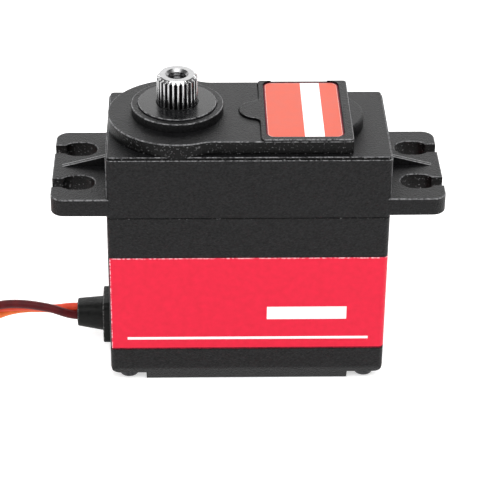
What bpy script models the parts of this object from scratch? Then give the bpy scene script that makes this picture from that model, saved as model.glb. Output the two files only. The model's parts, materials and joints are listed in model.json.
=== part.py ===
"""A standard-size hobby servo motor: case, gear train, motor, feedback, electronics and lead.

Units are metres, +Z is up. The origin is on the floor under the middle of the case, the
output shaft is towards -X and the front face looks along -Y.
"""

from math import acos, atan2, cos, pi, radians, sin, sqrt, tan

import bmesh
import bpy
from mathutils import Matrix, Vector

MM = 0.001

# Case: its walls stand round the gear train and the motor with these rooms
WALL = 1.4 * MM
CASE_CORNER = 0.8 * MM
GEAR_SIDE_ROOM = 0.25 * MM
GEAR_END_ROOM = 0.3 * MM
MOTOR_SIDE_ROOM = 0.2 * MM
MOTOR_END_ROOM = 0.6 * MM
COVER_HEIGHT = 6.0 * MM
PLATE_THICKNESS = 3.0 * MM
SHOULDER_ROOM = 0.83 * MM
SHOULDER_CHAMFER = 0.38 * MM
SEAM_GAP = 0.06 * MM

# Bottom cover
FOOT_HEIGHT = 2.6 * MM
FOOT_INSET = 1.2 * MM
FOOT_END = 5.25 * MM
FOOT_STEP = 1.5 * MM
END_ROUND = 1.0 * MM
COVER_FLOOR = 2.8 * MM
BOARD_RIB = 1.2 * MM

# Raised gear hump, label frame and bosses on the top case
HUMP_RISE = 2.05 * MM
HUMP_INSET = 1.05 * MM
HUMP_END_INSET = 5.5 * MM
HUMP_FILLET = 4.0 * MM
BOSS_INSET = 0.13 * MM
FRAME_OFFSET = 0.3 * MM
FRAME_RISE = 0.3 * MM
IDLER_BOSS_RADIUS = 2.65 * MM
MOTOR_BOSS_RADIUS = 6.4 * MM
MOTOR_BOSS_DROP = 0.4 * MM
COLLAR_WALL = 0.93 * MM
COLLAR_RISE = 1.4 * MM
CAP_LAP = 0.62 * MM
CAP_THICKNESS = 0.7 * MM
CAP_RISE = 0.25 * MM
CAP_BORE_GAP = 0.15 * MM

# Mounting ears, measured from the ends of the case
EAR_LENGTH = 7.95 * MM
EAR_INSET = 0.1 * MM
EAR_THICKNESS = 2.75 * MM
EAR_LIFT = 0.3 * MM
EAR_CORNER = 1.9 * MM
HOLE_OFFSET = 4.05 * MM
HOLE_PITCH_Y = 9.8 * MM
HOLE_LENGTH = 4.7 * MM
HOLE_WIDTH = 4.0 * MM
SLOT_WIDTH = 2.4 * MM
RIB_HEIGHT = 1.75 * MM
RIB_SETBACK = 1.25 * MM
RIB_THICKNESS = 0.7 * MM

# Case screws and the posts that they pass through
SCREW_INSET_X = 2.65 * MM
SCREW_INSET_Y = 2.5 * MM
SCREW_RADIUS = 0.8 * MM
SCREW_BITE = 5.85 * MM
SCREW_HEAD_RADIUS = 1.5 * MM
SCREW_HEAD_HEIGHT = 1.25 * MM
SCREW_DRIVE_RADIUS = 0.75 * MM
POST_WALL = 1.1 * MM

# Labels
LABEL_THICKNESS = 0.1 * MM
LABEL_GAP = 0.03 * MM
CASE_LABEL_HEIGHT = 15.9 * MM
CASE_LABEL_START = 0.25 * MM
TOP_LABEL_LEFT = 0.9 * MM
TOP_LABEL_RIGHT = 1.55 * MM
TOP_LABEL_SIDE = 1.0 * MM
TOP_LABEL_CORNER = 1.2 * MM
LABEL_POCKET_DEPTH = 0.16 * MM

# Gears: modules, tooth counts and face widths
PRESSURE_ANGLE = radians(25)
ADDENDUM = 0.9
DEDENDUM = 1.15
TOOTH_PLAY = 0.05 * MM
OUTPUT_MODULE = 0.5 * MM
OUTPUT_TEETH = 32
OUTPUT_PINION_TEETH = 14
HIGH_MODULE = 0.3 * MM
MOTOR_PINION_TEETH = 10
MOTOR_WHEEL_TEETH = 49
HIGH_PINION_TEETH = 11
HIGH_WHEEL_TEETH = 25
LOW_PINION_TEETH = 10
LOW_WHEEL_TEETH = 17
SIDE_SHAFT_ANGLE = radians(45)
OUTPUT_FACE = 2.6 * MM
LOW_FACE = 1.3 * MM
HIGH_FACE = 1.2 * MM
GEAR_LIFT = 1.7 * MM
GEAR_GAP = 0.35 * MM
PIN_RADIUS = 0.7 * MM
PIN_SEAT = 1.9 * MM
RUNNING_GAP = 0.05 * MM
SEAT_GAP = 0.1 * MM

# Output shaft, spline and bearings
SPLINE_TEETH = 25
SPLINE_RADIUS = 2.925 * MM
SPLINE_DEPTH = 0.375 * MM
SPLINE_HEIGHT = 4.4 * MM
SPLINE_CHAMFER = 0.45 * MM
SPLINE_TIP_SHARE = 0.16
SPLINE_ROOT_SHARE = 0.46
HORN_SCREW_RADIUS = 1.25 * MM
HORN_SCREW_DEPTH = 6.0 * MM
HORN_SCREW_MOUTH = 0.4 * MM
BEARING_CLEAR = 0.075 * MM
BEARING_SECTION = 2.0 * MM
BEARING_HEIGHT = 2.45 * MM
BEARING_RACE = 0.75 * MM
BEARING_LIP = 0.9 * MM
SHAFT_COLLAR_STEP = 0.5 * MM

# Motor
MOTOR_RADIUS = 8.0 * MM
MOTOR_LENGTH = 15.0 * MM
MOTOR_NOSE_RADIUS = 3.0 * MM
MOTOR_NOSE_HEIGHT = 2.4 * MM
MOTOR_CAP_HEIGHT = 0.9 * MM
MOTOR_SHAFT_SEAT = 3.0 * MM
MOTOR_SCREW_PITCH = 10.0 * MM
MOTOR_SCREW_RADIUS = 1.2 * MM
MOTOR_SCREW_HEAD = 1.9 * MM
MOTOR_SCREW_HEAD_HEIGHT = 1.2 * MM
MOTOR_SCREW_BITE = 3.0 * MM
TERMINAL_LENGTH = 1.6 * MM
TERMINAL_WIDTH = 2.2 * MM
TERMINAL_THICKNESS = 0.6 * MM
TERMINAL_PITCH = 9.0 * MM

# Feedback potentiometer
POT_RADIUS = 6.0 * MM
POT_HEIGHT = 6.0 * MM
POT_SHAFT_RADIUS = 1.5 * MM
POT_SHAFT_SEAT = 4.5 * MM
POT_SOCKET_DEPTH = 2.5 * MM

# Electronics
BOARD_END_ROOM = 0.5 * MM
BOARD_SIDE_ROOM = 0.5 * MM
BOARD_THICKNESS = 1.2 * MM
CHIP_SIDE = 7.0 * MM
CHIP_HEIGHT = 1.0 * MM
DRIVER_LENGTH = 5.0 * MM
DRIVER_WIDTH = 4.0 * MM
DRIVER_HEIGHT = 1.2 * MM
DRIVER_ROOM = 2.37 * MM
CAPACITOR_RADIUS = 2.0 * MM
CAPACITOR_HEIGHT = 5.0 * MM

# Strain relief
LEAD_HEIGHT = 5.85 * MM
FLANGE_THICKNESS = 1.6 * MM
FLANGE_DEPTH = 6.2 * MM
FLANGE_HEIGHT = 7.1 * MM
FLANGE_LIFT = 2.0 * MM
FLANGE_CORNER = 1.0 * MM
NECK_DEPTH = 5.2 * MM
NECK_HEIGHT = 5.0 * MM
INNER_FLANGE_THICKNESS = 1.1 * MM
INNER_FLANGE_LAP = 1.1 * MM
SLEEVE_LENGTH = 3.55 * MM
SLEEVE_ROOT_RADIUS = 2.5 * MM
SLEEVE_TIP_RADIUS = 2.05 * MM
SLEEVE_WALL = 0.5 * MM

# Lead, its coil and its connector
WIRE_RADIUS = 0.65 * MM
TWIST_RADIUS = 0.76 * MM
TWIST_LAY = 36.0 * MM
TWIST_START = radians(310)
COIL_RADIUS = 13.6 * MM
COIL_TURN_STEP = 1.4 * MM
COIL_LIFT = 2.2 * MM
COIL_HALF_WIDTH = 2.85 * MM
COIL_HEIGHT = 5.2 * MM
COIL_CHAMFER = 1.1 * MM
TIE_WIDTH = 3.0 * MM
TIE_THICKNESS = 0.4 * MM
TIE_GAP = 0.3 * MM
TIE_ANGLE = radians(240)
TAIL_BEND = 4.5 * MM
TAIL_CLEAR = 0.2
CONNECTOR_LENGTH = 14.0 * MM
CONNECTOR_WIDTH = 7.62 * MM
CONNECTOR_THICKNESS = 2.54 * MM
CONNECTOR_LIFT = 0.05 * MM
CONNECTOR_ANGLE = radians(25)
CONTACT_PITCH = 2.54 * MM
CONTACT_SIDE = 1.3 * MM
CONTACT_LENGTH = 9.0 * MM
CONTACT_GAP = 0.1 * MM

# Middle line of the lead between the circuit board and its coil
LEAD_ROUTE = [
    (-16.0 * MM, 0.0, 5.6 * MM),
    (-19.0 * MM, 0.0, 5.75 * MM),
    (-22.0 * MM, 0.0, 5.85 * MM),
    (-25.5 * MM, 0.0, 6.0 * MM),
    (-28.0 * MM, 0.0, 6.35 * MM),
    (-31.0 * MM, 0.0, 6.85 * MM),
    (-34.0 * MM, 0.0, 7.05 * MM),
    (-37.0 * MM, 0.0, 6.7 * MM),
    (-39.5 * MM, -0.09 * MM, 5.8 * MM),
    (-41.45 * MM, -0.51 * MM, 4.95 * MM),
]
ROUTE_STEPS = 2

# Facets
ROUND = 40
SMALL_ROUND = 20
CORNER_STEPS = 4

# Tooth counts are whole numbers
OUTPUT_TEETH = round(OUTPUT_TEETH)
OUTPUT_PINION_TEETH = round(OUTPUT_PINION_TEETH)
MOTOR_PINION_TEETH = round(MOTOR_PINION_TEETH)
MOTOR_WHEEL_TEETH = round(MOTOR_WHEEL_TEETH)
HIGH_PINION_TEETH = round(HIGH_PINION_TEETH)
HIGH_WHEEL_TEETH = round(HIGH_WHEEL_TEETH)
LOW_PINION_TEETH = round(LOW_PINION_TEETH)
LOW_WHEEL_TEETH = round(LOW_WHEEL_TEETH)
SPLINE_TEETH = round(SPLINE_TEETH)

# The gear train's centre distances, and the case that they and the motor need
LOW_MODULE = HIGH_MODULE * (HIGH_WHEEL_TEETH + HIGH_PINION_TEETH) / (LOW_WHEEL_TEETH + LOW_PINION_TEETH)
OUTPUT_CENTRES = OUTPUT_MODULE * (OUTPUT_TEETH + OUTPUT_PINION_TEETH) / 2
MOTOR_CENTRES = HIGH_MODULE * (MOTOR_WHEEL_TEETH + MOTOR_PINION_TEETH) / 2
SIDE_CENTRES = LOW_MODULE * (LOW_WHEEL_TEETH + LOW_PINION_TEETH) / 2
OUTPUT_TIP = OUTPUT_MODULE * (OUTPUT_TEETH / 2 + ADDENDUM)
OUTPUT_INSET = OUTPUT_TIP + GEAR_END_ROOM + WALL
MOTOR_INSET = MOTOR_RADIUS + MOTOR_END_ROOM + WALL
HALF_LENGTH = (OUTPUT_INSET + OUTPUT_CENTRES + MOTOR_CENTRES + MOTOR_INSET) / 2
HALF_WIDTH = max(OUTPUT_TIP + GEAR_SIDE_ROOM, MOTOR_RADIUS + MOTOR_SIDE_ROOM) + WALL
CAVITY_X = HALF_LENGTH - WALL
CAVITY_Y = HALF_WIDTH - WALL
OUTPUT_X = OUTPUT_INSET - HALF_LENGTH
IDLER_X = OUTPUT_X + OUTPUT_CENTRES
MOTOR_X = IDLER_X + MOTOR_CENTRES
SIDE_X = IDLER_X + SIDE_CENTRES * cos(SIDE_SHAFT_ANGLE)
SIDE_Y = SIDE_CENTRES * sin(SIDE_SHAFT_ANGLE)

# Heights, stacked from the floor
Z_COVER = COVER_HEIGHT
Z_BOARD = COVER_FLOOR + DRIVER_ROOM + DRIVER_HEIGHT + SEAT_GAP
Z_BOARD_TOP = Z_BOARD + BOARD_THICKNESS
Z_MOTOR_CAP = Z_BOARD_TOP + SEAT_GAP + TERMINAL_LENGTH + SEAT_GAP
Z_MOTOR = Z_MOTOR_CAP + MOTOR_CAP_HEIGHT + SEAT_GAP
Z_MOTOR_TOP = Z_MOTOR + MOTOR_LENGTH
Z_PLATE_UNDER = Z_MOTOR_TOP + SEAT_GAP
Z_PLATE = Z_PLATE_UNDER + PLATE_THICKNESS
Z_SEAM = Z_PLATE + SEAM_GAP / 2
Z_EAR = Z_SEAM + EAR_LIFT
Z_EAR_TOP = Z_EAR + EAR_THICKNESS
Z_OUTPUT_GEAR = Z_PLATE + GEAR_LIFT
Z_LOW_WHEEL = Z_OUTPUT_GEAR + OUTPUT_FACE + GEAR_GAP
Z_HIGH_WHEEL = Z_LOW_WHEEL + LOW_FACE + GEAR_GAP
Z_MOTOR_WHEEL = Z_HIGH_WHEEL + HIGH_FACE + GEAR_GAP
Z_GEAR_TOP = Z_MOTOR_WHEEL + HIGH_FACE
Z_POCKET = Z_GEAR_TOP + GEAR_GAP
Z_SHOULDER = Z_GEAR_TOP + SHOULDER_ROOM
Z_CEILING = Z_SHOULDER - WALL
Z_HUMP = Z_SHOULDER + HUMP_RISE
Z_FRAME = Z_HUMP + FRAME_RISE
Z_COLLAR = Z_HUMP + COLLAR_RISE
Z_CAP = Z_COLLAR + CAP_RISE
Z_SPLINE = Z_CAP + SPLINE_HEIGHT
Z_BEARING_TOP = Z_CAP - CAP_THICKNESS - RUNNING_GAP
Z_BEARING = Z_BEARING_TOP - BEARING_HEIGHT
Z_LOWER_BEARING_TOP = Z_PLATE - RUNNING_GAP
Z_LOWER_BEARING = Z_LOWER_BEARING_TOP - BEARING_HEIGHT

# Sizes that follow from their neighbours
BOSS_RADIUS = HALF_WIDTH - BOSS_INSET
HUMP_HALF = HALF_WIDTH - HUMP_INSET
HUMP_END = HALF_LENGTH - HUMP_END_INSET
FRAME_START = IDLER_X + FRAME_OFFSET
TOP_LABEL_X = (FRAME_START + TOP_LABEL_LEFT + HUMP_END - TOP_LABEL_RIGHT) / 2
TOP_LABEL_HALF_X = (HUMP_END - TOP_LABEL_RIGHT - FRAME_START - TOP_LABEL_LEFT) / 2
TOP_LABEL_HALF_Y = HUMP_HALF - TOP_LABEL_SIDE
EAR_REACH = HALF_LENGTH + EAR_LENGTH
RIB_LENGTH = EAR_LENGTH - RIB_SETBACK
POST_RADIUS = SCREW_RADIUS + POST_WALL
SCREW_X = HALF_LENGTH - SCREW_INSET_X
SCREW_Y = HALF_WIDTH - SCREW_INSET_Y
CORNERS = [(sx * SCREW_X, sy * SCREW_Y) for sx in (-1, 1) for sy in (-1, 1)]
BEARING_BORE = SPLINE_RADIUS + BEARING_CLEAR
BEARING_OUTER = BEARING_BORE + BEARING_SECTION
SHAFT_COLLAR = BEARING_BORE + SHAFT_COLLAR_STEP
CAP_RADIUS = BEARING_OUTER + CAP_LAP
COLLAR_RADIUS = CAP_RADIUS + RUNNING_GAP + COLLAR_WALL
BOARD_X = SCREW_X - POST_RADIUS - BOARD_END_ROOM
BOARD_Y = CAVITY_Y - BOARD_SIDE_ROOM
COIL_Y = COIL_RADIUS + COIL_HALF_WIDTH - HALF_WIDTH
COIL_REACH = COIL_RADIUS + COIL_HALF_WIDTH + TWIST_RADIUS + WIRE_RADIUS + SEAT_GAP
COIL_X = LEAD_ROUTE[-1][0] - sqrt(COIL_REACH**2 - (COIL_Y - LEAD_ROUTE[-1][1]) ** 2)
CONNECTOR_ROOM = sqrt((COIL_RADIUS - COIL_HALF_WIDTH) ** 2 - (CONNECTOR_WIDTH / 2) ** 2)
CONNECTOR_START = CONNECTOR_LENGTH + SEAT_GAP - CONNECTOR_ROOM
OVERCUT = 1.0 * MM

for old in list(bpy.data.objects):
    bpy.data.objects.remove(old, do_unlink=True)

PARTS = bpy.data.collections.new("hobby_servo_motor")
TOOLS = bpy.data.collections.new("cutters")
bpy.context.scene.collection.children.link(PARTS)
bpy.context.scene.collection.children.link(TOOLS)


# Finishes
def finish(name, colour, roughness, metallic=0.0):
    made = bpy.data.materials.new(name)
    made.use_nodes = True
    shader = made.node_tree.nodes["Principled BSDF"]
    shader.inputs["Base Color"].default_value = (*colour, 1.0)
    shader.inputs["Roughness"].default_value = roughness
    shader.inputs["Metallic"].default_value = metallic
    return made


CASE_PLASTIC = ((0.028, 0.028, 0.030), 0.55, 0.0)
LABEL_RED = ((0.86, 0.03, 0.07), 0.35, 0.0)
LABEL_SALMON = ((0.95, 0.22, 0.16), 0.35, 0.0)
GLOSS_BLACK = ((0.02, 0.02, 0.022), 0.3, 0.0)
STEEL = ((0.62, 0.62, 0.62), 0.25, 1.0)
DARK_STEEL = ((0.12, 0.12, 0.13), 0.4, 1.0)
BRASS = ((0.75, 0.55, 0.22), 0.3, 1.0)
RUBBER = ((0.02, 0.02, 0.02), 0.7, 0.0)
BOARD_GREEN = ((0.02, 0.16, 0.06), 0.5, 0.0)
CHIP_BLACK = ((0.015, 0.015, 0.015), 0.6, 0.0)
WIRE_BROWN = ((0.09, 0.015, 0.015), 0.45, 0.0)
WIRE_RED = ((0.7, 0.02, 0.03), 0.45, 0.0)
WIRE_ORANGE = ((0.9, 0.25, 0.04), 0.45, 0.0)


# Objects and Booleans
def part(name, data, look, place=(0.0, 0.0, 0.0)):
    data.materials.clear()
    data.materials.append(finish(name, *look))
    made = bpy.data.objects.new(name, data)
    made.location = place
    PARTS.objects.link(made)
    return made


def tool(name, data, place=(0.0, 0.0, 0.0)):
    made = bpy.data.objects.new(name, data)
    made.location = place
    made.hide_render = True
    made.display_type = "WIRE"
    TOOLS.objects.link(made)
    return made


def combine(target, other, operation):
    step = target.modifiers.new(other.name, "BOOLEAN")
    step.operation = operation
    step.object = other
    step.solver = "EXACT"


def cut(target, name, data, place=(0.0, 0.0, 0.0)):
    combine(target, tool(name, data, place), "DIFFERENCE")


def add(target, name, data, place=(0.0, 0.0, 0.0)):
    combine(target, tool(name, data, place), "UNION")


# Mesh makers
def baked(obj):
    """The evaluated mesh of a helper object, welded, and the helper removed."""
    graph = bpy.context.evaluated_depsgraph_get()
    mesh = bpy.data.meshes.new_from_object(obj.evaluated_get(graph))
    bpy.data.objects.remove(obj, do_unlink=True)
    work = bmesh.new()
    work.from_mesh(mesh)
    bmesh.ops.remove_doubles(work, verts=work.verts, dist=1e-7)
    bmesh.ops.recalc_face_normals(work, faces=work.faces)
    work.to_mesh(mesh)
    work.free()
    mesh.shade_smooth()
    mesh.set_sharp_from_angle(angle=radians(30))
    return mesh


def box(x, y, z, corner=0.0, top_chamfer=0.0):
    """A box over the x, y and z ranges, with rounded upright edges and a chamfered top rim."""
    work = bmesh.new()
    bmesh.ops.create_cube(work, size=1.0)
    size = Matrix.Diagonal((x[1] - x[0], y[1] - y[0], z[1] - z[0], 1.0))
    middle = Matrix.Translation(((x[0] + x[1]) / 2, (y[0] + y[1]) / 2, (z[0] + z[1]) / 2))
    bmesh.ops.transform(work, matrix=middle @ size, verts=work.verts)
    if corner:
        upright = [e for e in work.edges if abs(e.verts[0].co.z - e.verts[1].co.z) > 1e-6]
        steps = round(CORNER_STEPS)
        bmesh.ops.bevel(work, geom=upright, offset=corner, segments=steps, affect="EDGES", profile=0.5)
    if top_chamfer:
        rim = [e for e in work.edges if min(v.co.z for v in e.verts) > z[1] - 1e-6]
        bmesh.ops.bevel(work, geom=rim, offset=top_chamfer, segments=1, affect="EDGES")
    mesh = bpy.data.meshes.new("box")
    work.to_mesh(mesh)
    work.free()
    return mesh


def cylinder(radius, z, segments=ROUND):
    work = bmesh.new()
    middle = Matrix.Translation((0.0, 0.0, (z[0] + z[1]) / 2))
    bmesh.ops.create_cone(
        work,
        cap_ends=True,
        segments=round(segments),
        radius1=radius,
        radius2=radius,
        depth=z[1] - z[0],
        matrix=middle,
    )
    mesh = bpy.data.meshes.new("cylinder")
    work.to_mesh(mesh)
    work.free()
    mesh.shade_smooth()
    mesh.set_sharp_from_angle(angle=radians(30))
    return mesh


def prism(outlines, z, turn=None):
    """Flat outlines, the later ones as holes, extruded over the z range."""
    curve = bpy.data.curves.new("outline", "CURVE")
    curve.dimensions = "2D"
    curve.fill_mode = "BOTH"
    curve.extrude = (z[1] - z[0]) / 2
    for outline in outlines:
        spline = curve.splines.new("POLY")
        spline.points.add(len(outline) - 1)
        for point, (px, py) in zip(spline.points, outline):
            point.co = (px, py, 0.0, 1.0)
        spline.use_cyclic_u = True
    helper = tool("outline", curve)
    bpy.context.view_layer.update()
    mesh = baked(helper)
    mesh.transform(Matrix.Translation((0.0, 0.0, (z[0] + z[1]) / 2)))
    if turn:
        mesh.transform(turn)
    return mesh


def turned(profile, segments=ROUND):
    """A profile of radius and height pairs, run down its outer side and turned about Z."""
    outline = bpy.data.meshes.new("profile")
    edges = [(i, i + 1) for i in range(len(profile) - 1)]
    outline.from_pydata([(r, 0.0, z) for r, z in profile], edges, [])
    helper = tool("profile", outline)
    screw = helper.modifiers.new("turn", "SCREW")
    screw.axis = "Z"
    screw.steps = round(segments)
    screw.render_steps = round(segments)
    screw.use_merge_vertices = True
    screw.merge_threshold = 1e-7
    bpy.context.view_layer.update()
    return baked(helper)


def ring(outer, inner, z, segments=ROUND):
    return prism([circle(outer, segments), circle(inner, segments)], z)


# Outlines
def arc(cx, cy, radius, start, end, steps):
    steps = round(steps)
    span = [start + (end - start) * i / steps for i in range(steps + 1)]
    return [(cx + radius * cos(a), cy + radius * sin(a)) for a in span]


def circle(radius, segments=ROUND, cx=0.0, cy=0.0):
    segments = round(segments)
    return arc(cx, cy, radius, 0.0, 2 * pi * (1 - 1 / segments), segments - 1)


def rounded_rectangle(half_x, half_y, radius, cx=0.0, cy=0.0):
    corners = [(1, 1, 0.0), (-1, 1, pi / 2), (-1, -1, pi), (1, -1, 3 * pi / 2)]
    points = []
    for sx, sy, start in corners:
        at = (cx + sx * (half_x - radius), cy + sy * (half_y - radius))
        points += arc(*at, radius, start, start + pi / 2, CORNER_STEPS)
    return points


def hump_outline():
    """The round end about the output shaft, run into straight sides by a concave fillet."""
    fillet_y = HUMP_HALF + HUMP_FILLET
    fillet_x = sqrt((BOSS_RADIUS + HUMP_FILLET) ** 2 - fillet_y**2)
    lean = atan2(fillet_y, fillet_x)
    centre = (OUTPUT_X + fillet_x, fillet_y)
    upper = arc(*centre, HUMP_FILLET, 3 * pi / 2, pi + lean, CORNER_STEPS)
    end = arc(OUTPUT_X, 0.0, BOSS_RADIUS, lean, 2 * pi - lean, ROUND)
    lower = [(x, -y) for x, y in reversed(upper)]
    return [(HUMP_END, -HUMP_HALF), (HUMP_END, HUMP_HALF)] + upper + end[1:-1] + lower


def ear_slot(side, y):
    """An oval hole with a narrower slot out to the ear's end."""
    radius = HOLE_WIDTH / 2
    spread = (HOLE_LENGTH - HOLE_WIDTH) / 2
    half = SLOT_WIDTH / 2
    mouth = atan2(half, sqrt(radius**2 - half**2))
    middle = HALF_LENGTH + HOLE_OFFSET
    end = EAR_REACH + OVERCUT
    points = [(end, y - half)]
    points += arc(middle + spread, y, radius, -mouth, -pi / 2, CORNER_STEPS)
    points += arc(middle - spread, y, radius, -pi / 2, -3 * pi / 2, 2 * CORNER_STEPS)
    points += arc(middle + spread, y, radius, pi / 2, mouth, CORNER_STEPS)
    points.append((end, y + half))
    return [(side * px, py) for px, py in points]


def involute(angle):
    return tan(angle) - angle


def gear_outline(teeth, module, phase):
    """Involute teeth, each flank as two straight facets, with the first tooth at phase."""
    pitch = teeth * module / 2
    base = pitch * cos(PRESSURE_ANGLE)
    radii = [pitch - DEDENDUM * module, pitch, pitch + ADDENDUM * module]

    def half_angle(radius):
        swing = involute(acos(min(base / radius, 1.0)))
        return pi / (2 * teeth) - TOOTH_PLAY / (2 * pitch) + involute(PRESSURE_ANGLE) - swing

    flank = [(radius, half_angle(radius)) for radius in radii]
    points = []
    for tooth in range(teeth):
        middle = phase + 2 * pi * tooth / teeth
        points += [(r * cos(middle - h), r * sin(middle - h)) for r, h in flank]
        points += [(r * cos(middle + h), r * sin(middle + h)) for r, h in reversed(flank)]
    return points


def mating_phase(direction, teeth, phase, other_teeth):
    """The phase of a gear that meshes with another, which it sees back along direction."""
    turned_by = (direction - phase) * teeth - pi
    return direction + pi + turned_by / other_teeth


def gear(teeth, module, phase, z, bore):
    return prism([gear_outline(teeth, module, phase), circle(bore, SMALL_ROUND)], z)


def spline_outline():
    """Straight-sided teeth, with their tips just outside the blank that they are cut from."""
    root = SPLINE_RADIUS - SPLINE_DEPTH
    tip = SPLINE_RADIUS + RUNNING_GAP
    flank = [(root, SPLINE_ROOT_SHARE), (tip, SPLINE_TIP_SHARE)]
    tooth = [(radius, -share) for radius, share in flank] + flank[::-1]
    points = []
    for number in range(SPLINE_TEETH):
        for radius, share in tooth:
            angle = 2 * pi * (number + share) / SPLINE_TEETH
            points.append((radius * cos(angle), radius * sin(angle)))
    return points


# Case parts
def post_cutters(target, label, radius, z):
    for number, (x, y) in enumerate(CORNERS, 1):
        cut(target, f"{label}_{number}", cylinder(radius, z, SMALL_ROUND), (x, y, 0.0))


def cavity(name, z):
    """A cavity cutter that leaves the four screw posts standing."""
    made = tool(name, box((-CAVITY_X, CAVITY_X), (-CAVITY_Y, CAVITY_Y), z))
    post_cutters(made, name + "_post", POST_RADIUS, (z[0] - OVERCUT, z[1] + OVERCUT))
    return made


def make_top_case():
    base = Z_SEAM + SEAM_GAP / 2
    half_x, half_y = HALF_LENGTH, HALF_WIDTH
    block = box((-half_x, half_x), (-half_y, half_y), (base, Z_SHOULDER), CASE_CORNER, SHOULDER_CHAMFER)
    case = part("top_case", block, CASE_PLASTIC)
    add_hump(case)
    add_ears(case)
    combine(case, cavity("gear_room", (base - OVERCUT, Z_CEILING)), "DIFFERENCE")
    cut_gear_pockets(case)
    cut_bearing_seat(case)
    bore_top = Z_SEAM + SCREW_BITE + SEAT_GAP
    post_cutters(case, "top_bore", SCREW_RADIUS + RUNNING_GAP, (base - OVERCUT, bore_top))
    make_top_label(case)


def add_hump(case):
    """The raised deck over the gears, with the label's frame and the bosses of the shafts."""
    root = Z_SHOULDER - WALL / 2
    sunk = Z_HUMP - WALL / 2
    add(case, "hump", prism([hump_outline()], (root, Z_HUMP)))
    shy = SEAM_GAP / 2
    side = HUMP_HALF - shy
    add(case, "label_frame", box((FRAME_START, HUMP_END - shy), (-side, side), (sunk, Z_FRAME)))
    add(case, "idler_boss", cylinder(IDLER_BOSS_RADIUS, (sunk, Z_FRAME - shy)), (IDLER_X, 0.0, 0.0))
    motor_boss = cylinder(MOTOR_BOSS_RADIUS, (root, Z_FRAME - MOTOR_BOSS_DROP))
    add(case, "motor_boss", motor_boss, (MOTOR_X, 0.0, 0.0))
    add(case, "output_collar", cylinder(COLLAR_RADIUS, (sunk, Z_COLLAR)), (OUTPUT_X, 0.0, 0.0))


def add_ears(case):
    outline = rounded_rectangle(EAR_REACH, HALF_WIDTH - EAR_INSET, EAR_CORNER)
    add(case, "ears", prism([outline], (Z_EAR, Z_EAR_TOP)))
    upright = Matrix.Rotation(pi / 2, 4, "X")
    wall = HALF_LENGTH - WALL / 2
    tip = HALF_LENGTH + RIB_LENGTH
    sink = Z_EAR_TOP - EAR_THICKNESS / 2
    crest = Z_EAR_TOP + RIB_HEIGHT * (tip - wall) / RIB_LENGTH
    rib = [(wall, sink), (tip, sink), (tip, Z_EAR_TOP), (wall, crest)]
    slot_z = (Z_EAR - OVERCUT, Z_EAR_TOP + OVERCUT)
    for side, end in ((-1, "left"), (1, "right")):
        shape = prism([[(side * x, z) for x, z in rib]], (-RIB_THICKNESS / 2, RIB_THICKNESS / 2), upright)
        add(case, f"{end}_rib", shape)
        cut(case, f"{end}_front_slot", prism([ear_slot(side, -HOLE_PITCH_Y / 2)], slot_z))
        cut(case, f"{end}_back_slot", prism([ear_slot(side, HOLE_PITCH_Y / 2)], slot_z))


def cut_gear_pockets(case):
    """Room for the top wheel and the motor's pinion, and the blind hole of the idler pin."""
    tip_room = GEAR_GAP + ADDENDUM * HIGH_MODULE
    under = Z_CEILING - OVERCUT
    wheel = cylinder(MOTOR_WHEEL_TEETH * HIGH_MODULE / 2 + tip_room, (under, Z_POCKET))
    pinion = cylinder(MOTOR_PINION_TEETH * HIGH_MODULE / 2 + tip_room, (under, Z_POCKET))
    pin = cylinder(PIN_RADIUS + RUNNING_GAP, (under, Z_POCKET + PIN_SEAT), SMALL_ROUND)
    cut(case, "wheel_room", wheel, (IDLER_X, 0.0, 0.0))
    cut(case, "pinion_room", pinion, (MOTOR_X, 0.0, 0.0))
    cut(case, "idler_pin_seat", pin, (IDLER_X, 0.0, 0.0))


def cut_bearing_seat(case):
    place = (OUTPUT_X, 0.0, 0.0)
    above = Z_CAP + OVERCUT
    seat = cylinder(BEARING_OUTER + RUNNING_GAP, (Z_BEARING - RUNNING_GAP, above))
    cap_seat = cylinder(CAP_RADIUS + RUNNING_GAP, (Z_BEARING_TOP + RUNNING_GAP / 2, above))
    shaft_room = cylinder(BEARING_OUTER - BEARING_LIP, (Z_CEILING - OVERCUT, above))
    cut(case, "bearing_seat", seat, place)
    cut(case, "cap_seat", cap_seat, place)
    cut(case, "shaft_room", shaft_room, place)


def make_top_label(case):
    place = (TOP_LABEL_X, 0.0, 0.0)
    pocket_floor = Z_FRAME - LABEL_POCKET_DEPTH
    pocket = rounded_rectangle(TOP_LABEL_HALF_X + SEAT_GAP, TOP_LABEL_HALF_Y + SEAT_GAP, TOP_LABEL_CORNER)
    cut(case, "label_pocket", prism([pocket], (pocket_floor, Z_FRAME + OVERCUT)), place)
    label = rounded_rectangle(TOP_LABEL_HALF_X, TOP_LABEL_HALF_Y, TOP_LABEL_CORNER)
    low = pocket_floor + LABEL_GAP
    part("top_label", prism([label], (low, low + LABEL_THICKNESS)), LABEL_SALMON, place)


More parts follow.
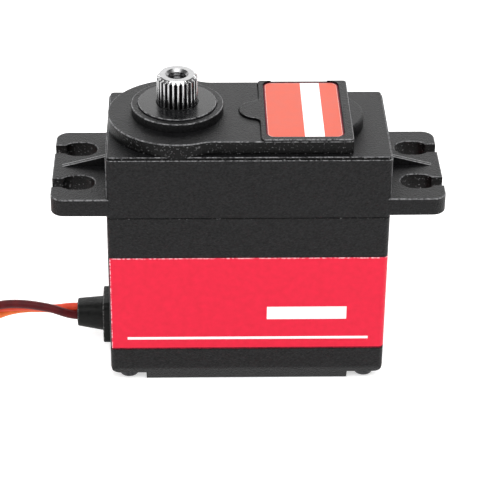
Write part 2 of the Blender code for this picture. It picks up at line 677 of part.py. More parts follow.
def make_middle_case():
    low = Z_COVER + SEAM_GAP / 2
    label_top = Z_COVER + CASE_LABEL_HEIGHT + SEAT_GAP
    recess = LABEL_THICKNESS + LABEL_GAP
    half_x, half_y = HALF_LENGTH, HALF_WIDTH
    lower_z = (low, label_top + WALL)
    lower = box((-half_x, half_x - recess), (recess - half_y, half_y - recess), lower_z, CASE_CORNER)
    case = part("middle_case", lower, CASE_PLASTIC)
    upper = box((-half_x, half_x), (-half_y, half_y), (label_top, Z_PLATE), CASE_CORNER)
    add(case, "middle_upper", upper)
    combine(case, cavity("motor_room", (low - OVERCUT, Z_PLATE_UNDER)), "DIFFERENCE")
    post_cutters(case, "middle_bore", SCREW_RADIUS + RUNNING_GAP, (low - OVERCUT, Z_PLATE + OVERCUT))
    above = Z_PLATE + OVERCUT
    below = Z_PLATE_UNDER - OVERCUT
    seat = cylinder(BEARING_OUTER + RUNNING_GAP, (Z_LOWER_BEARING - RUNNING_GAP, above))
    cut(case, "lower_bearing_seat", seat, (OUTPUT_X, 0.0, 0.0))
    lip = cylinder(BEARING_OUTER - BEARING_LIP, (below, above))
    cut(case, "lower_bearing_lip", lip, (OUTPUT_X, 0.0, 0.0))
    cut(case, "motor_nose_hole", cylinder(MOTOR_NOSE_RADIUS + SEAT_GAP, (below, above)), (MOTOR_X, 0.0, 0.0))
    for number, row in enumerate((-1, 1), 1):
        hole = cylinder(MOTOR_SCREW_RADIUS + SEAT_GAP, (below, above), SMALL_ROUND)
        cut(case, f"motor_screw_hole_{number}", hole, (MOTOR_X, row * MOTOR_SCREW_PITCH / 2, 0.0))
    pin_z = (Z_PLATE - PIN_SEAT - SEAT_GAP, above)
    for name, spot in (("idler_pin_hole", (IDLER_X, 0.0, 0.0)), ("side_pin_hole", (SIDE_X, SIDE_Y, 0.0))):
        cut(case, name, cylinder(PIN_RADIUS + RUNNING_GAP, pin_z, SMALL_ROUND), spot)
    cut(case, "middle_neck", neck_cutter())


def neck_cutter():
    half_y = NECK_DEPTH / 2 + SEAT_GAP
    half_z = NECK_HEIGHT / 2 + SEAT_GAP
    x = (-HALF_LENGTH - OVERCUT, -CAVITY_X + OVERCUT)
    return box(x, (-half_y, half_y), (LEAD_HEIGHT - half_z, LEAD_HEIGHT + half_z))


def make_bottom_cover():
    top = Z_COVER - SEAM_GAP / 2
    half_x, half_y = HALF_LENGTH, HALF_WIDTH
    block = box((-half_x, half_x), (-half_y, half_y), (0.0, top), CASE_CORNER)
    cover = part("bottom_cover", block, CASE_PLASTIC)
    foot_y = half_y - FOOT_INSET
    section = [(-half_y - OVERCUT, top + OVERCUT), (-half_y - OVERCUT, FOOT_HEIGHT), (-half_y, FOOT_HEIGHT)]
    section += [(-foot_y, 0.0), (-foot_y, -OVERCUT)]
    section += [(-y, z) for y, z in reversed(section)]
    along = Matrix.Rotation(pi / 2, 4, "Z") @ Matrix.Rotation(pi / 2, 4, "X")
    keep = tool("foot_section", prism([section], (-half_x - OVERCUT, half_x + OVERCUT), along))
    combine(cover, keep, "INTERSECT")
    reach = half_x + OVERCUT
    for number, side in enumerate((-1, 1), 1):
        x = sorted((side * (half_x - FOOT_END), side * reach))
        step = box(x, (-half_y - OVERCUT, half_y + OVERCUT), (-OVERCUT, FOOT_STEP))
        cut(cover, f"foot_step_{number}", step)
        centre = (half_x - END_ROUND, FOOT_STEP + END_ROUND)
        corner = [(reach, centre[1]), *arc(*centre, END_ROUND, 0.0, -pi / 2, CORNER_STEPS)]
        corner += [(centre[0], FOOT_STEP - OVERCUT), (reach, FOOT_STEP - OVERCUT)]
        upright = Matrix.Rotation(pi / 2, 4, "X")
        outline = [(side * x, z) for x, z in corner]
        cut(cover, f"end_round_{number}", prism([outline], (-half_y - OVERCUT, half_y + OVERCUT), upright))
    combine(cover, cavity("cover_room", (COVER_FLOOR, top + OVERCUT)), "DIFFERENCE")
    post_cutters(cover, "cover_bore", SCREW_RADIUS + RUNNING_GAP, (-OVERCUT, top + OVERCUT))
    cut(cover, "cover_neck", neck_cutter())
    rib_z = (COVER_FLOOR - WALL / 2, Z_BOARD - SEAT_GAP)
    for number, side in enumerate((-1, 1), 1):
        x = side * (BOARD_X - 2 * BOARD_RIB)
        half = BOARD_Y - BOARD_RIB
        rib = box((x - BOARD_RIB / 2, x + BOARD_RIB / 2), (-half, half), rib_z)
        add(cover, f"board_rib_{number}", rib)


def make_case_screws():
    head_top = FOOT_STEP - RUNNING_GAP
    head = head_top - SCREW_HEAD_HEIGHT
    dome = SCREW_HEAD_HEIGHT / 3
    drive = SCREW_DRIVE_RADIUS
    tip = Z_SEAM + SCREW_BITE
    profile = [
        (0.0, tip),
        (SCREW_RADIUS, tip - SCREW_RADIUS / 2),
        (SCREW_RADIUS, head_top),
        (SCREW_HEAD_RADIUS, head_top),
        (SCREW_HEAD_RADIUS, head + dome),
        (SCREW_HEAD_RADIUS - dome, head),
        (drive, head),
        (drive, head + 2 * dome),
        (0.0, head + 2 * dome),
    ]
    for number, (x, y) in enumerate(CORNERS, 1):
        part(f"case_screw_{number}", turned(profile, SMALL_ROUND), DARK_STEEL, (x, y, 0.0))


def make_case_label():
    """One sticker round the front, the right end and the back of the middle case."""
    start = CASE_LABEL_START - HALF_LENGTH
    outer = (HALF_LENGTH, HALF_WIDTH, CASE_CORNER)
    inner = (HALF_LENGTH - LABEL_THICKNESS, HALF_WIDTH - LABEL_THICKNESS, CASE_CORNER - LABEL_THICKNESS)

    def half_loop(half_x, half_y, radius):
        points = [(start, -half_y)]
        points += arc(half_x - radius, radius - half_y, radius, -pi / 2, 0.0, CORNER_STEPS)
        points += arc(half_x - radius, half_y - radius, radius, 0.0, pi / 2, CORNER_STEPS)
        return points + [(start, half_y)]

    outline = half_loop(*outer) + half_loop(*inner)[::-1]
    low = Z_COVER + SEAM_GAP
    part("case_label", prism([outline], (low, low + CASE_LABEL_HEIGHT - SEAM_GAP)), LABEL_RED)


# Bearings and output shaft
def make_bearing(name, low):
    place = (OUTPUT_X, 0.0, 0.0)
    z = (low, low + BEARING_HEIGHT)
    part(name + "_outer", ring(BEARING_OUTER, BEARING_OUTER - BEARING_RACE, z), STEEL, place)
    part(name + "_inner", ring(BEARING_BORE + BEARING_RACE, BEARING_BORE, z), STEEL, place)


def make_output():
    place = (OUTPUT_X, 0.0, 0.0)
    journal = BEARING_BORE - RUNNING_GAP
    socket = POT_SHAFT_RADIUS + RUNNING_GAP
    end = Z_LOWER_BEARING
    spline_low = Z_CAP + CAP_RISE / 2
    mouth = HORN_SCREW_RADIUS + HORN_SCREW_MOUTH
    hub_low = Z_LOWER_BEARING_TOP + 2 * RUNNING_GAP
    hub_top = Z_BEARING - 2 * RUNNING_GAP
    profile = [
        (0.0, Z_SPLINE - HORN_SCREW_DEPTH),
        (HORN_SCREW_RADIUS, Z_SPLINE - HORN_SCREW_DEPTH),
        (HORN_SCREW_RADIUS, Z_SPLINE - HORN_SCREW_MOUTH),
        (mouth, Z_SPLINE),
        (SPLINE_RADIUS - SPLINE_CHAMFER, Z_SPLINE),
        (SPLINE_RADIUS, Z_SPLINE - SPLINE_CHAMFER),
        (SPLINE_RADIUS, spline_low),
        (journal, spline_low),
        (journal, hub_top),
        (SHAFT_COLLAR, hub_top),
        (SHAFT_COLLAR, hub_low),
        (journal, hub_low),
        (journal, end),
        (socket, end),
        (socket, end + POT_SOCKET_DEPTH),
        (0.0, end + POT_SOCKET_DEPTH),
    ]
    shaft = part("output_shaft", turned(profile), STEEL, place)
    teeth = [circle(SPLINE_RADIUS + OVERCUT), spline_outline()]
    cut(shaft, "spline_grooves", prism(teeth, (spline_low, Z_SPLINE + OVERCUT)), place)
    face = (Z_OUTPUT_GEAR, Z_OUTPUT_GEAR + OUTPUT_FACE)
    wheel = gear(OUTPUT_TEETH, OUTPUT_MODULE, 0.0, face, BEARING_BORE)
    add(shaft, "output_gear", wheel, place)
    cap = ring(CAP_RADIUS, BEARING_BORE + CAP_BORE_GAP, (Z_CAP - CAP_THICKNESS, Z_CAP))
    part("bearing_cap", cap, GLOSS_BLACK, place)
    make_bearing("upper_bearing", Z_BEARING)
    make_bearing("lower_bearing", Z_LOWER_BEARING)


# Gear train between the motor and the output shaft
def make_gears():
    bore = PIN_RADIUS + RUNNING_GAP
    weld = GEAR_GAP / 2
    low_phase = mating_phase(0.0, OUTPUT_TEETH, 0.0, OUTPUT_PINION_TEETH)
    low_z = (Z_LOW_WHEEL - weld, Z_LOW_WHEEL + LOW_FACE)
    high_z = (Z_HIGH_WHEEL - weld, Z_HIGH_WHEEL + HIGH_FACE)
    motor_z = (Z_MOTOR_WHEEL - weld, Z_GEAR_TOP)
    idler = (IDLER_X, 0.0, 0.0)
    side = (SIDE_X, SIDE_Y, 0.0)
    wheel = part("idler_gear_3", gear(LOW_WHEEL_TEETH, LOW_MODULE, 0.0, low_z, bore), BRASS, idler)
    pinion_z = (Z_OUTPUT_GEAR, Z_LOW_WHEEL)
    add(wheel, "output_pinion", gear(OUTPUT_PINION_TEETH, OUTPUT_MODULE, low_phase, pinion_z, bore), idler)
    side_phase = mating_phase(SIDE_SHAFT_ANGLE, LOW_WHEEL_TEETH, 0.0, LOW_PINION_TEETH)
    wheel = part("idler_gear_2", gear(HIGH_WHEEL_TEETH, HIGH_MODULE, 0.0, high_z, bore), BRASS, side)
    pinion_z = (Z_LOW_WHEEL, Z_HIGH_WHEEL)
    add(wheel, "low_pinion", gear(LOW_PINION_TEETH, LOW_MODULE, side_phase, pinion_z, bore), side)
    high_phase = mating_phase(SIDE_SHAFT_ANGLE + pi, HIGH_WHEEL_TEETH, 0.0, HIGH_PINION_TEETH)
    wheel = part("idler_gear_1", gear(MOTOR_WHEEL_TEETH, HIGH_MODULE, 0.0, motor_z, bore), BRASS, idler)
    pinion_z = (Z_HIGH_WHEEL, Z_MOTOR_WHEEL)
    add(wheel, "high_pinion", gear(HIGH_PINION_TEETH, HIGH_MODULE, high_phase, pinion_z, bore), idler)
    pinion_phase = mating_phase(0.0, MOTOR_WHEEL_TEETH, 0.0, MOTOR_PINION_TEETH)
    motor_face = (Z_MOTOR_WHEEL - weld, Z_GEAR_TOP + weld)
    pinion = gear(MOTOR_PINION_TEETH, HIGH_MODULE, pinion_phase, motor_face, bore)
    part("motor_pinion", pinion, BRASS, (MOTOR_X, 0.0, 0.0))
    foot = Z_PLATE - PIN_SEAT
    idler_pin = cylinder(PIN_RADIUS, (foot, Z_POCKET + PIN_SEAT - SEAT_GAP), SMALL_ROUND)
    part("idler_shaft_a", idler_pin, STEEL, idler)
    part("idler_shaft_b", cylinder(PIN_RADIUS, (foot, high_z[1] + weld), SMALL_ROUND), STEEL, side)


# Motor
def make_motor():
    place = (MOTOR_X, 0.0, 0.0)
    nose_top = Z_MOTOR_TOP + MOTOR_NOSE_HEIGHT
    seat = PIN_RADIUS + RUNNING_GAP
    shaft_low = nose_top - MOTOR_NOSE_HEIGHT - MOTOR_SHAFT_SEAT
    profile = [
        (0.0, shaft_low - SEAT_GAP),
        (seat, shaft_low - SEAT_GAP),
        (seat, nose_top),
        (MOTOR_NOSE_RADIUS, nose_top),
        (MOTOR_NOSE_RADIUS, Z_MOTOR_TOP),
        (MOTOR_RADIUS, Z_MOTOR_TOP),
        (MOTOR_RADIUS, Z_MOTOR),
        (0.0, Z_MOTOR),
    ]
    can = part("motor_can", turned(profile), STEEL, place)
    bite = Z_MOTOR_TOP - MOTOR_SCREW_BITE
    head = Z_PLATE + SEAT_GAP / 2
    screw = [
        (0.0, head + MOTOR_SCREW_HEAD_HEIGHT),
        (MOTOR_SCREW_HEAD, head + MOTOR_SCREW_HEAD_HEIGHT),
        (MOTOR_SCREW_HEAD, head),
        (MOTOR_SCREW_RADIUS, head),
        (MOTOR_SCREW_RADIUS, bite),
        (0.0, bite),
    ]
    hole_z = (bite - SEAT_GAP, Z_MOTOR_TOP + OVERCUT)
    for number, row in enumerate((-1, 1), 1):
        spot = (MOTOR_X, row * MOTOR_SCREW_PITCH / 2, 0.0)
        hole = cylinder(MOTOR_SCREW_RADIUS + RUNNING_GAP, hole_z, SMALL_ROUND)
        cut(can, f"motor_thread_{number}", hole, spot)
        part(f"motor_screw_{number}", turned(screw, SMALL_ROUND), DARK_STEEL, spot)
        y = row * TERMINAL_PITCH / 2
        half = TERMINAL_WIDTH / 2
        thick = TERMINAL_THICKNESS / 2
        z = (Z_BOARD_TOP + SEAT_GAP, Z_MOTOR_CAP - SEAT_GAP)
        tab = box((-thick, thick), (y - half, y + half), z)
        part(f"motor_terminal_{number}", tab, BRASS, place)
    end_cap = cylinder(MOTOR_RADIUS - SEAT_GAP, (Z_MOTOR_CAP, Z_MOTOR_CAP + MOTOR_CAP_HEIGHT))
    part("motor_end_cap", end_cap, CHIP_BLACK, place)
    shaft = cylinder(PIN_RADIUS, (shaft_low, Z_GEAR_TOP + GEAR_GAP / 2), SMALL_ROUND)
    part("motor_shaft", shaft, STEEL, place)


# Feedback and electronics
def make_feedback():
    place = (OUTPUT_X, 0.0, 0.0)
    top = Z_PLATE_UNDER - SEAT_GAP
    bore = POT_SHAFT_RADIUS + RUNNING_GAP
    profile = [
        (0.0, top - POT_SHAFT_SEAT - SEAT_GAP),
        (bore, top - POT_SHAFT_SEAT - SEAT_GAP),
        (bore, top),
        (POT_RADIUS, top),
        (POT_RADIUS, top - POT_HEIGHT),
        (0.0, top - POT_HEIGHT),
    ]
    part("potentiometer_body", turned(profile), BOARD_GREEN, place)
    shaft_top = Z_LOWER_BEARING + POT_SOCKET_DEPTH - SEAT_GAP
    shaft = cylinder(POT_SHAFT_RADIUS, (top - POT_SHAFT_SEAT, shaft_top), SMALL_ROUND)
    part("potentiometer_shaft", shaft, BRASS, place)


def make_electronics():
    board = box((-BOARD_X, BOARD_X), (-BOARD_Y, BOARD_Y), (Z_BOARD, Z_BOARD_TOP))
    part("circuit_board", board, BOARD_GREEN)
    chip_low = Z_BOARD_TOP + SEAT_GAP
    half_chip = CHIP_SIDE / 2
    chip = box((-half_chip, half_chip), (-half_chip, half_chip), (chip_low, chip_low + CHIP_HEIGHT))
    part("control_chip", chip, CHIP_BLACK, (OUTPUT_X + CHIP_SIDE / 2, 0.0, 0.0))
    driver_top = Z_BOARD - SEAT_GAP
    half_l, half_w = DRIVER_LENGTH / 2, DRIVER_WIDTH / 2
    for number, side in enumerate((-1, 1), 1):
        driver = box((-half_l, half_l), (-half_w, half_w), (driver_top - DRIVER_HEIGHT, driver_top))
        part(f"driver_chip_{number}", driver, CHIP_BLACK, (side * DRIVER_LENGTH, 0.0, 0.0))
    can = cylinder(CAPACITOR_RADIUS, (chip_low, chip_low + CAPACITOR_HEIGHT), SMALL_ROUND)
    spot = (CAPACITOR_RADIUS - BOARD_X + BOARD_RIB, BOARD_Y - CAPACITOR_RADIUS - BOARD_RIB, 0.0)
    part("capacitor", can, DARK_STEEL, spot)


# Strain relief
def make_strain_relief():
    outside = -HALF_LENGTH - SEAT_GAP
    flange_x = (outside - FLANGE_THICKNESS, outside)
    sideways = Matrix.Rotation(pi / 2, 4, "Z") @ Matrix.Rotation(pi / 2, 4, "X")
    flange_middle = FLANGE_LIFT + FLANGE_HEIGHT / 2
    flange = rounded_rectangle(FLANGE_DEPTH / 2, FLANGE_HEIGHT / 2, FLANGE_CORNER, 0.0, flange_middle)
    relief = part("strain_relief", prism([flange], flange_x, sideways), RUBBER)
    inside = -CAVITY_X + SEAT_GAP
    half_y, half_z = NECK_DEPTH / 2, NECK_HEIGHT / 2
    neck_x = (outside - FLANGE_THICKNESS / 2, inside + INNER_FLANGE_THICKNESS / 2)
    add(relief, "neck", box(neck_x, (-half_y, half_y), (LEAD_HEIGHT - half_z, LEAD_HEIGHT + half_z)))
    inner_y = half_y + INNER_FLANGE_LAP
    inner_z = (LEAD_HEIGHT - half_z + SEAT_GAP, LEAD_HEIGHT + half_z + INNER_FLANGE_LAP)
    add(relief, "inner_flange", box((inside, inside + INNER_FLANGE_THICKNESS), (-inner_y, inner_y), inner_z))
    root = FLANGE_THICKNESS / 2
    sleeve = turned(
        [
            (0.0, SLEEVE_LENGTH),
            (SLEEVE_TIP_RADIUS, SLEEVE_LENGTH),
            (SLEEVE_ROOT_RADIUS, 0.0),
            (SLEEVE_ROOT_RADIUS, -root),
            (0.0, -root),
        ]
    )
    sleeve.transform(Matrix.Translation((flange_x[0], 0.0, LEAD_HEIGHT)) @ Matrix.Rotation(-pi / 2, 4, "Y"))
    add(relief, "sleeve", sleeve)
    bore_z = (CAVITY_X - 2 * INNER_FLANGE_THICKNESS, -flange_x[0] + SLEEVE_LENGTH + OVERCUT)
    bore = cylinder(SLEEVE_TIP_RADIUS - SLEEVE_WALL, bore_z, SMALL_ROUND)
    bore.transform(Matrix.Translation((0.0, 0.0, LEAD_HEIGHT)) @ Matrix.Rotation(-pi / 2, 4, "Y"))
    cut(relief, "lead_bore", bore)


# Lead
def smooth_route(points, steps):
    """A Catmull-Rom curve through the points, with steps stretches between each two."""
    known = [Vector(p) for p in points]
    known = [2 * known[0] - known[1]] + known + [2 * known[-1] - known[-2]]
    steps = round(steps)
    route = []
    for i in range(1, len(known) - 2):
        a, b, c, d = known[i - 1 : i + 3]
        for k in range(steps):
            t = k / steps
            square = 2 * a - 5 * b + 4 * c - d
            cube = 3 * b - a - 3 * c + d
            route.append((2 * b + (c - a) * t + square * t**2 + cube * t**3) / 2)
    return route + [known[-2]]


def strand(route, number):
    """One wire of three twisted about the route, at its own angle."""
    travelled = 0.0
    points = []
    for i, here in enumerate(route):
        travelled += (here - route[max(i - 1, 0)]).length
        ahead = route[min(i + 1, len(route) - 1)] - route[max(i - 1, 0)]
        side = ahead.cross(Vector((0.0, 0.0, 1.0))).normalized()
        rise = side.cross(ahead).normalized()
        angle = TWIST_START - 2 * pi * (number / 3 + travelled / TWIST_LAY)
        points.append(here + TWIST_RADIUS * (cos(angle) * side + sin(angle) * rise))
    return points


def tube(name, points, look):
    curve = bpy.data.curves.new(name, "CURVE")
    curve.dimensions = "3D"
    curve.bevel_depth = WIRE_RADIUS
    curve.bevel_resolution = 2
    curve.use_fill_caps = True
    spline = curve.splines.new("POLY")
    spline.points.add(len(points) - 1)
    for point, at in zip(spline.points, points):
        point.co = (*at, 1.0)
    part(name, curve, look)


def tail_route():
    """From inside the coil round the last of a bend to the back of the connector."""
    inner = COIL_RADIUS - COIL_TURN_STEP
    reach = sqrt((inner - TAIL_BEND) ** 2 - TAIL_BEND**2)
    sweep = pi - atan2(reach, TAIL_BEND)
    steps = round(CORNER_STEPS)
    bend = [TAIL_CLEAR * sweep * (1 - i / steps) for i in range(steps + 1)]
    flat = [(reach + TAIL_BEND * sin(a), TAIL_BEND - TAIL_BEND * cos(a)) for a in bend]
    end = CONNECTOR_START + SEAT_GAP
    flat += [(reach + (end - reach) * i / steps, 0.0) for i in range(1, steps + 1)]
    middle = CONNECTOR_LIFT + CONNECTOR_THICKNESS / 2
    turn = Matrix.Translation((COIL_X, COIL_Y, middle)) @ Matrix.Rotation(CONNECTOR_ANGLE, 4, "Z")
    return [turn @ Vector((x, y, 0.0)) for x, y in flat]


def tail_strand(route, number):
    """One wire of the flat tail, spread to its contact at the connector."""
    points = []
    for i, here in enumerate(route):
        ahead = route[min(i + 1, len(route) - 1)] - route[max(i - 1, 0)]
        side = ahead.cross(Vector((0.0, 0.0, 1.0))).normalized()
        close = 2 * WIRE_RADIUS + SEAT_GAP
        spread = close + (CONTACT_PITCH - close) * i / (len(route) - 1)
        points.append(here + (number - 1) * spread * side)
    return points


def make_lead():
    looks = {"brown": WIRE_BROWN, "red": WIRE_RED, "orange": WIRE_ORANGE}
    route = smooth_route(LEAD_ROUTE, ROUTE_STEPS)
    tail = tail_route()
    for number, (colour, look) in enumerate(looks.items()):
        tube(f"lead_{colour}", strand(route, number), look)
        tube(f"lead_tail_{colour}", tail_strand(tail, number), look)


def make_coil():
    half, top, chamfer = COIL_HALF_WIDTH, COIL_HEIGHT, COIL_CHAMFER
    low = COIL_LIFT - COIL_TURN_STEP
    section = [
        (-half + chamfer, low + top),
        (half - chamfer, low + top),
        (half, low + top - chamfer),
        (half, low + chamfer),
        (half - chamfer, low),
        (-half + chamfer, low),
        (-half, low + chamfer),
        (-half, low + top - chamfer),
    ]
    profile = [(COIL_RADIUS + r, z) for r, z in section]
    part("lead_coil", turned(profile + profile[:1]), WIRE_BROWN, (COIL_X, COIL_Y, 0.0))
    inner = (half + TIE_GAP, top / 2 + TIE_GAP)
    outer = (inner[0] + TIE_THICKNESS, inner[1] + TIE_THICKNESS)
    middle = low + top / 2
    loops = [rounded_rectangle(*size, chamfer, COIL_RADIUS, middle) for size in (outer, inner)]
    upright = Matrix.Rotation(TIE_ANGLE, 4, "Z") @ Matrix.Rotation(pi / 2, 4, "X")
    part("coil_tie", prism(loops, (-TIE_WIDTH / 2, TIE_WIDTH / 2), upright), RUBBER, (COIL_X, COIL_Y, 0.0))


def make_connector():
    turn = Matrix.Translation((COIL_X, COIL_Y, 0.0)) @ Matrix.Rotation(CONNECTOR_ANGLE, 4, "Z")
    half_w, half_t = CONNECTOR_WIDTH / 2, CONNECTOR_THICKNESS / 2
    middle = CONNECTOR_LIFT + half_t
    x = (CONNECTOR_START - CONNECTOR_LENGTH, CONNECTOR_START)
    block = box(x, (-half_w, half_w), (middle - half_t, middle + half_t))
    block.transform(turn)
    housing = part("connector_housing", block, CHIP_BLACK)
    for number, row in enumerate((-1, 0, 1), 1):
        y = row * CONTACT_PITCH
        room = CONTACT_SIDE / 2 + CONTACT_GAP
        hole = box((x[0] - OVERCUT, x[1] + OVERCUT), (y - room, y + room), (middle - room, middle + room))
        hole.transform(turn)
        cut(housing, f"contact_hole_{number}", hole)
        half = CONTACT_SIDE / 2
        contact_x = (x[1] - CONTACT_GAP - CONTACT_LENGTH, x[1] - CONTACT_GAP)
        contact = box(contact_x, (y - half, y + half), (middle - half, middle + half))
        contact.transform(turn)
        part(f"connector_contact_{number}", contact, BRASS)


make_top_case()
make_middle_case()
make_bottom_cover()
make_case_screws()
make_case_label()
make_output()
make_gears()
make_motor()
make_feedback()
make_electronics()
make_strain_relief()
make_lead()
make_coil()
make_connector()
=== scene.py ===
"""Looks of the hobby servo motor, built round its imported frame.

Units are metres, +Z is up, the front face looks along -Y and the output shaft is towards -X.
"""

import json
from itertools import accumulate
from math import atan2, ceil, copysign, cos, hypot, pi, radians, sin, sqrt

import bmesh
import bpy
from mathutils import Matrix, Vector


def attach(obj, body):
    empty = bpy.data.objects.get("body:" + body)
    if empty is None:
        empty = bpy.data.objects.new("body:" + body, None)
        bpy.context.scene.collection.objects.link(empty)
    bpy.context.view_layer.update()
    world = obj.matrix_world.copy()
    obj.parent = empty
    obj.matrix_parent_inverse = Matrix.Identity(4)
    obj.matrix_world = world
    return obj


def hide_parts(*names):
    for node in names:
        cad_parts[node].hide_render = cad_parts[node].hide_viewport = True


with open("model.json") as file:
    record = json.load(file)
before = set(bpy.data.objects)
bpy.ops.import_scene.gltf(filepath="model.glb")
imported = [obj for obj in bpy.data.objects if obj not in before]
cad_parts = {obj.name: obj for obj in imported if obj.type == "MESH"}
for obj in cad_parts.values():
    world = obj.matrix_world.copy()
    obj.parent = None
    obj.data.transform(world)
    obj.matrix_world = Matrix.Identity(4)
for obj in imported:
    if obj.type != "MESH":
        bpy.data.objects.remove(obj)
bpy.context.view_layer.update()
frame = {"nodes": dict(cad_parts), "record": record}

MM = 0.001


def mm(*sizes):
    """Sizes given in millimetres."""
    return tuple(size * MM for size in sizes)


# Camera, in the frame's own place and turn
CAMERA_AT = mm(-7.879, -254.141, 176.585)
CAMERA_YAW = radians(1.7)
CAMERA_PITCH = radians(31.823)
CAMERA_ROLL = radians(0.621)
CAMERA_LENS = 147.9
CAMERA_SENSOR = 36.0

# Softboxes: place, width, height and brightness of each
WORLD_STRENGTH = 0.15
SOFTBOXES = {
    "front": ((0.0, -0.35, 0.6), 0.7, 0.4, 6.0),
    "back": ((0.0, 0.5, 0.34), 1.2, 0.5, 2.8),
    "left": ((-0.6, -0.15, 0.2), 0.3, 0.3, 2.0),
    "right": ((0.6, -0.15, 0.2), 0.3, 0.3, 2.0),
}
FLOOR_SIZE = 6.0
FLOOR_GLOW = 0.6
FLOOR_GAP = 0.02 * MM

# Case
HALF_LENGTH = 20.25 * MM
HALF_WIDTH = 10.1 * MM
WALL = 1.4 * MM
CASE_CORNER = 0.8 * MM
EDGE = 0.12 * MM
SEAM = 0.03 * MM
Z_COVER = 6.0 * MM
Z_LABEL_TOP = 22.0 * MM
Z_PLATE_UNDER = 25.57 * MM
Z_SEAM = 28.6 * MM
Z_CEILING = 37.05 * MM
Z_POCKET = 37.97 * MM
Z_SHOULDER = 38.45 * MM
Z_HUMP = 40.5 * MM
Z_FRAME = 40.8 * MM
Z_COLLAR = 41.9 * MM
Z_CAP = 42.15 * MM
Z_SPLINE = 46.55 * MM
RABBET_DROP = 0.42 * MM
RABBET_INSET = 0.22 * MM
RABBET_EDGE = 0.1 * MM
SCREW_X = 17.6 * MM
SCREW_Y = 7.6 * MM
SCREW_PLACES = [(x, y) for x in (-SCREW_X, SCREW_X) for y in (-SCREW_Y, SCREW_Y)]
POST_RADIUS = 1.9 * MM
SCREW_BORE = 0.85 * MM
OVERCUT = 1.0 * MM

# Shafts
OUTPUT_X = -10.1 * MM
IDLER_X = 1.4 * MM
SIDE_X = 5.2184 * MM
SIDE_Y = 3.8184 * MM
MOTOR_X = 10.25 * MM
PIN_HOLE = 0.75 * MM
PIN_SEAT = 1.9 * MM
PLATE_PIN_LOW = 26.57 * MM
WHEEL_ROOM = 7.97 * MM
PINION_ROOM = 2.12 * MM
NOSE_HOLE = 3.1 * MM
MOTOR_SCREW_Y = 5.0 * MM
MOTOR_SCREW_HOLE = 1.3 * MM

# Hump, label frame and bosses
HUMP_HALF = 9.05 * MM
HUMP_END = 14.75 * MM
HUMP_FILLET = 4.0 * MM
HUMP_EDGE = 0.14 * MM
BOSS_RADIUS = 9.97 * MM
FRAME_START = 1.7 * MM
FRAME_EDGE = 0.14 * MM
FRAME_CORNER = 0.5 * MM
FRAME_GROOVE = 0.13 * MM
FRAME_GROOVE_DEPTH = 0.25 * MM
IDLER_BOSS = 2.65 * MM
IDLER_FILLET = 1.1 * MM
MOTOR_BOSS = 6.4 * MM
MOTOR_BOSS_DROP = 0.4 * MM
MOTOR_BOSS_EDGE = 0.4 * MM
COLLAR_RADIUS = 6.6 * MM
COLLAR_EDGE = 0.14 * MM
CAP_SEAT = 5.67 * MM
CAP_RADIUS = 5.62 * MM
CAP_BORE = 3.06 * MM
CAP_LOW = 41.45 * MM
CAP_EDGE = 0.12 * MM
CAP_SEAT_LOW = 41.425 * MM
BEARING_SEAT = 5.05 * MM
BEARING_LOW = 38.9 * MM
LOWER_BEARING_LOW = 26.02 * MM
SHAFT_ROOM = 4.1 * MM
TOP_BORE = 34.55 * MM

# Ears
EAR_REACH = 28.2 * MM
EAR_HALF = 10.0 * MM
EAR_LOW = 28.9 * MM
EAR_TOP = 31.65 * MM
EAR_CORNER = 1.9 * MM
EAR_EDGE = 0.16 * MM
EAR_TAPER = 0.05 * MM
HOLE_X = 24.5 * MM
HOLE_Y = 4.9 * MM
HOLE_LENGTH = 5.1 * MM
HOLE_WIDTH = 4.0 * MM
SLOT_WIDTH = 2.4 * MM
SLOT_FLARE = 0.12 * MM
RIB_LENGTH = 6.7 * MM
RIB_HEIGHT = 1.75 * MM
RIB_HALF = 0.35 * MM
RIB_EDGE = 0.08 * MM
RIB_HIGHLIGHT_LINE = 0.12 * MM

# Bottom cover
FOOT_TOP = 2.6 * MM
FOOT_INSET = 1.0 * MM
FOOT_HALF = 15.0 * MM
FOOT_STEP = 1.5 * MM
FOOT_ROUND = 0.3 * MM
END_ROUND = 1.4 * MM
COVER_FLOOR = 2.8 * MM
BOARD_RIB_TOP = 6.37 * MM
BOARD_RIB_X = 12.8 * MM
BOARD_RIB_Y = 7.0 * MM
BOARD_RIB_HALF = 0.6 * MM
HEAD_RADIUS = 1.5 * MM
HEAD_LOW = 0.2 * MM
HEAD_TOP = 1.45 * MM
HEAD_DOME = 0.4 * MM
SCREW_RADIUS = 0.8 * MM
SCREW_TIP = 34.45 * MM
CROSS_HALF = 0.2 * MM
CROSS_REACH = 0.85 * MM
CROSS_DEPTH = 0.6 * MM

# Labels
LABEL_THICKNESS = 0.1 * MM
LABEL_START = -20.0 * MM
LABEL_LOW = 6.06 * MM
LABEL_HIGH = 21.9 * MM
LABEL_RECESS = 0.13 * MM
LABEL_HIGHLIGHT_RIM = 0.14 * MM
LABEL_SHADE_RIM = 0.24 * MM
RULE_X = mm(-17.66, 17.84)
RULE_Z = mm(7.76, 8.2)
PLATE_X = mm(2.83, 14.52)
PLATE_Z = mm(11.27, 13.45)
TOP_LABEL_X = mm(2.47, 13.42)
TOP_LABEL_Y = mm(-8.1, 8.66)
TOP_LABEL_CORNER = 1.2 * MM
TOP_LABEL_LOW = 40.5 * MM
# Insets where the top sticker's painted-shade outline and its painted-highlight rim end
TOP_LABEL_RIMS = mm(0.2, 0.3)
TOP_STRIPE_X = mm(7.86, 10.65)
POCKET_FLOOR = 40.47 * MM
POCKET_GAP = 0.1 * MM
BACK_NOTCH_X = mm(3.6, 11.9)
BACK_NOTCH_DROP = 0.2 * MM

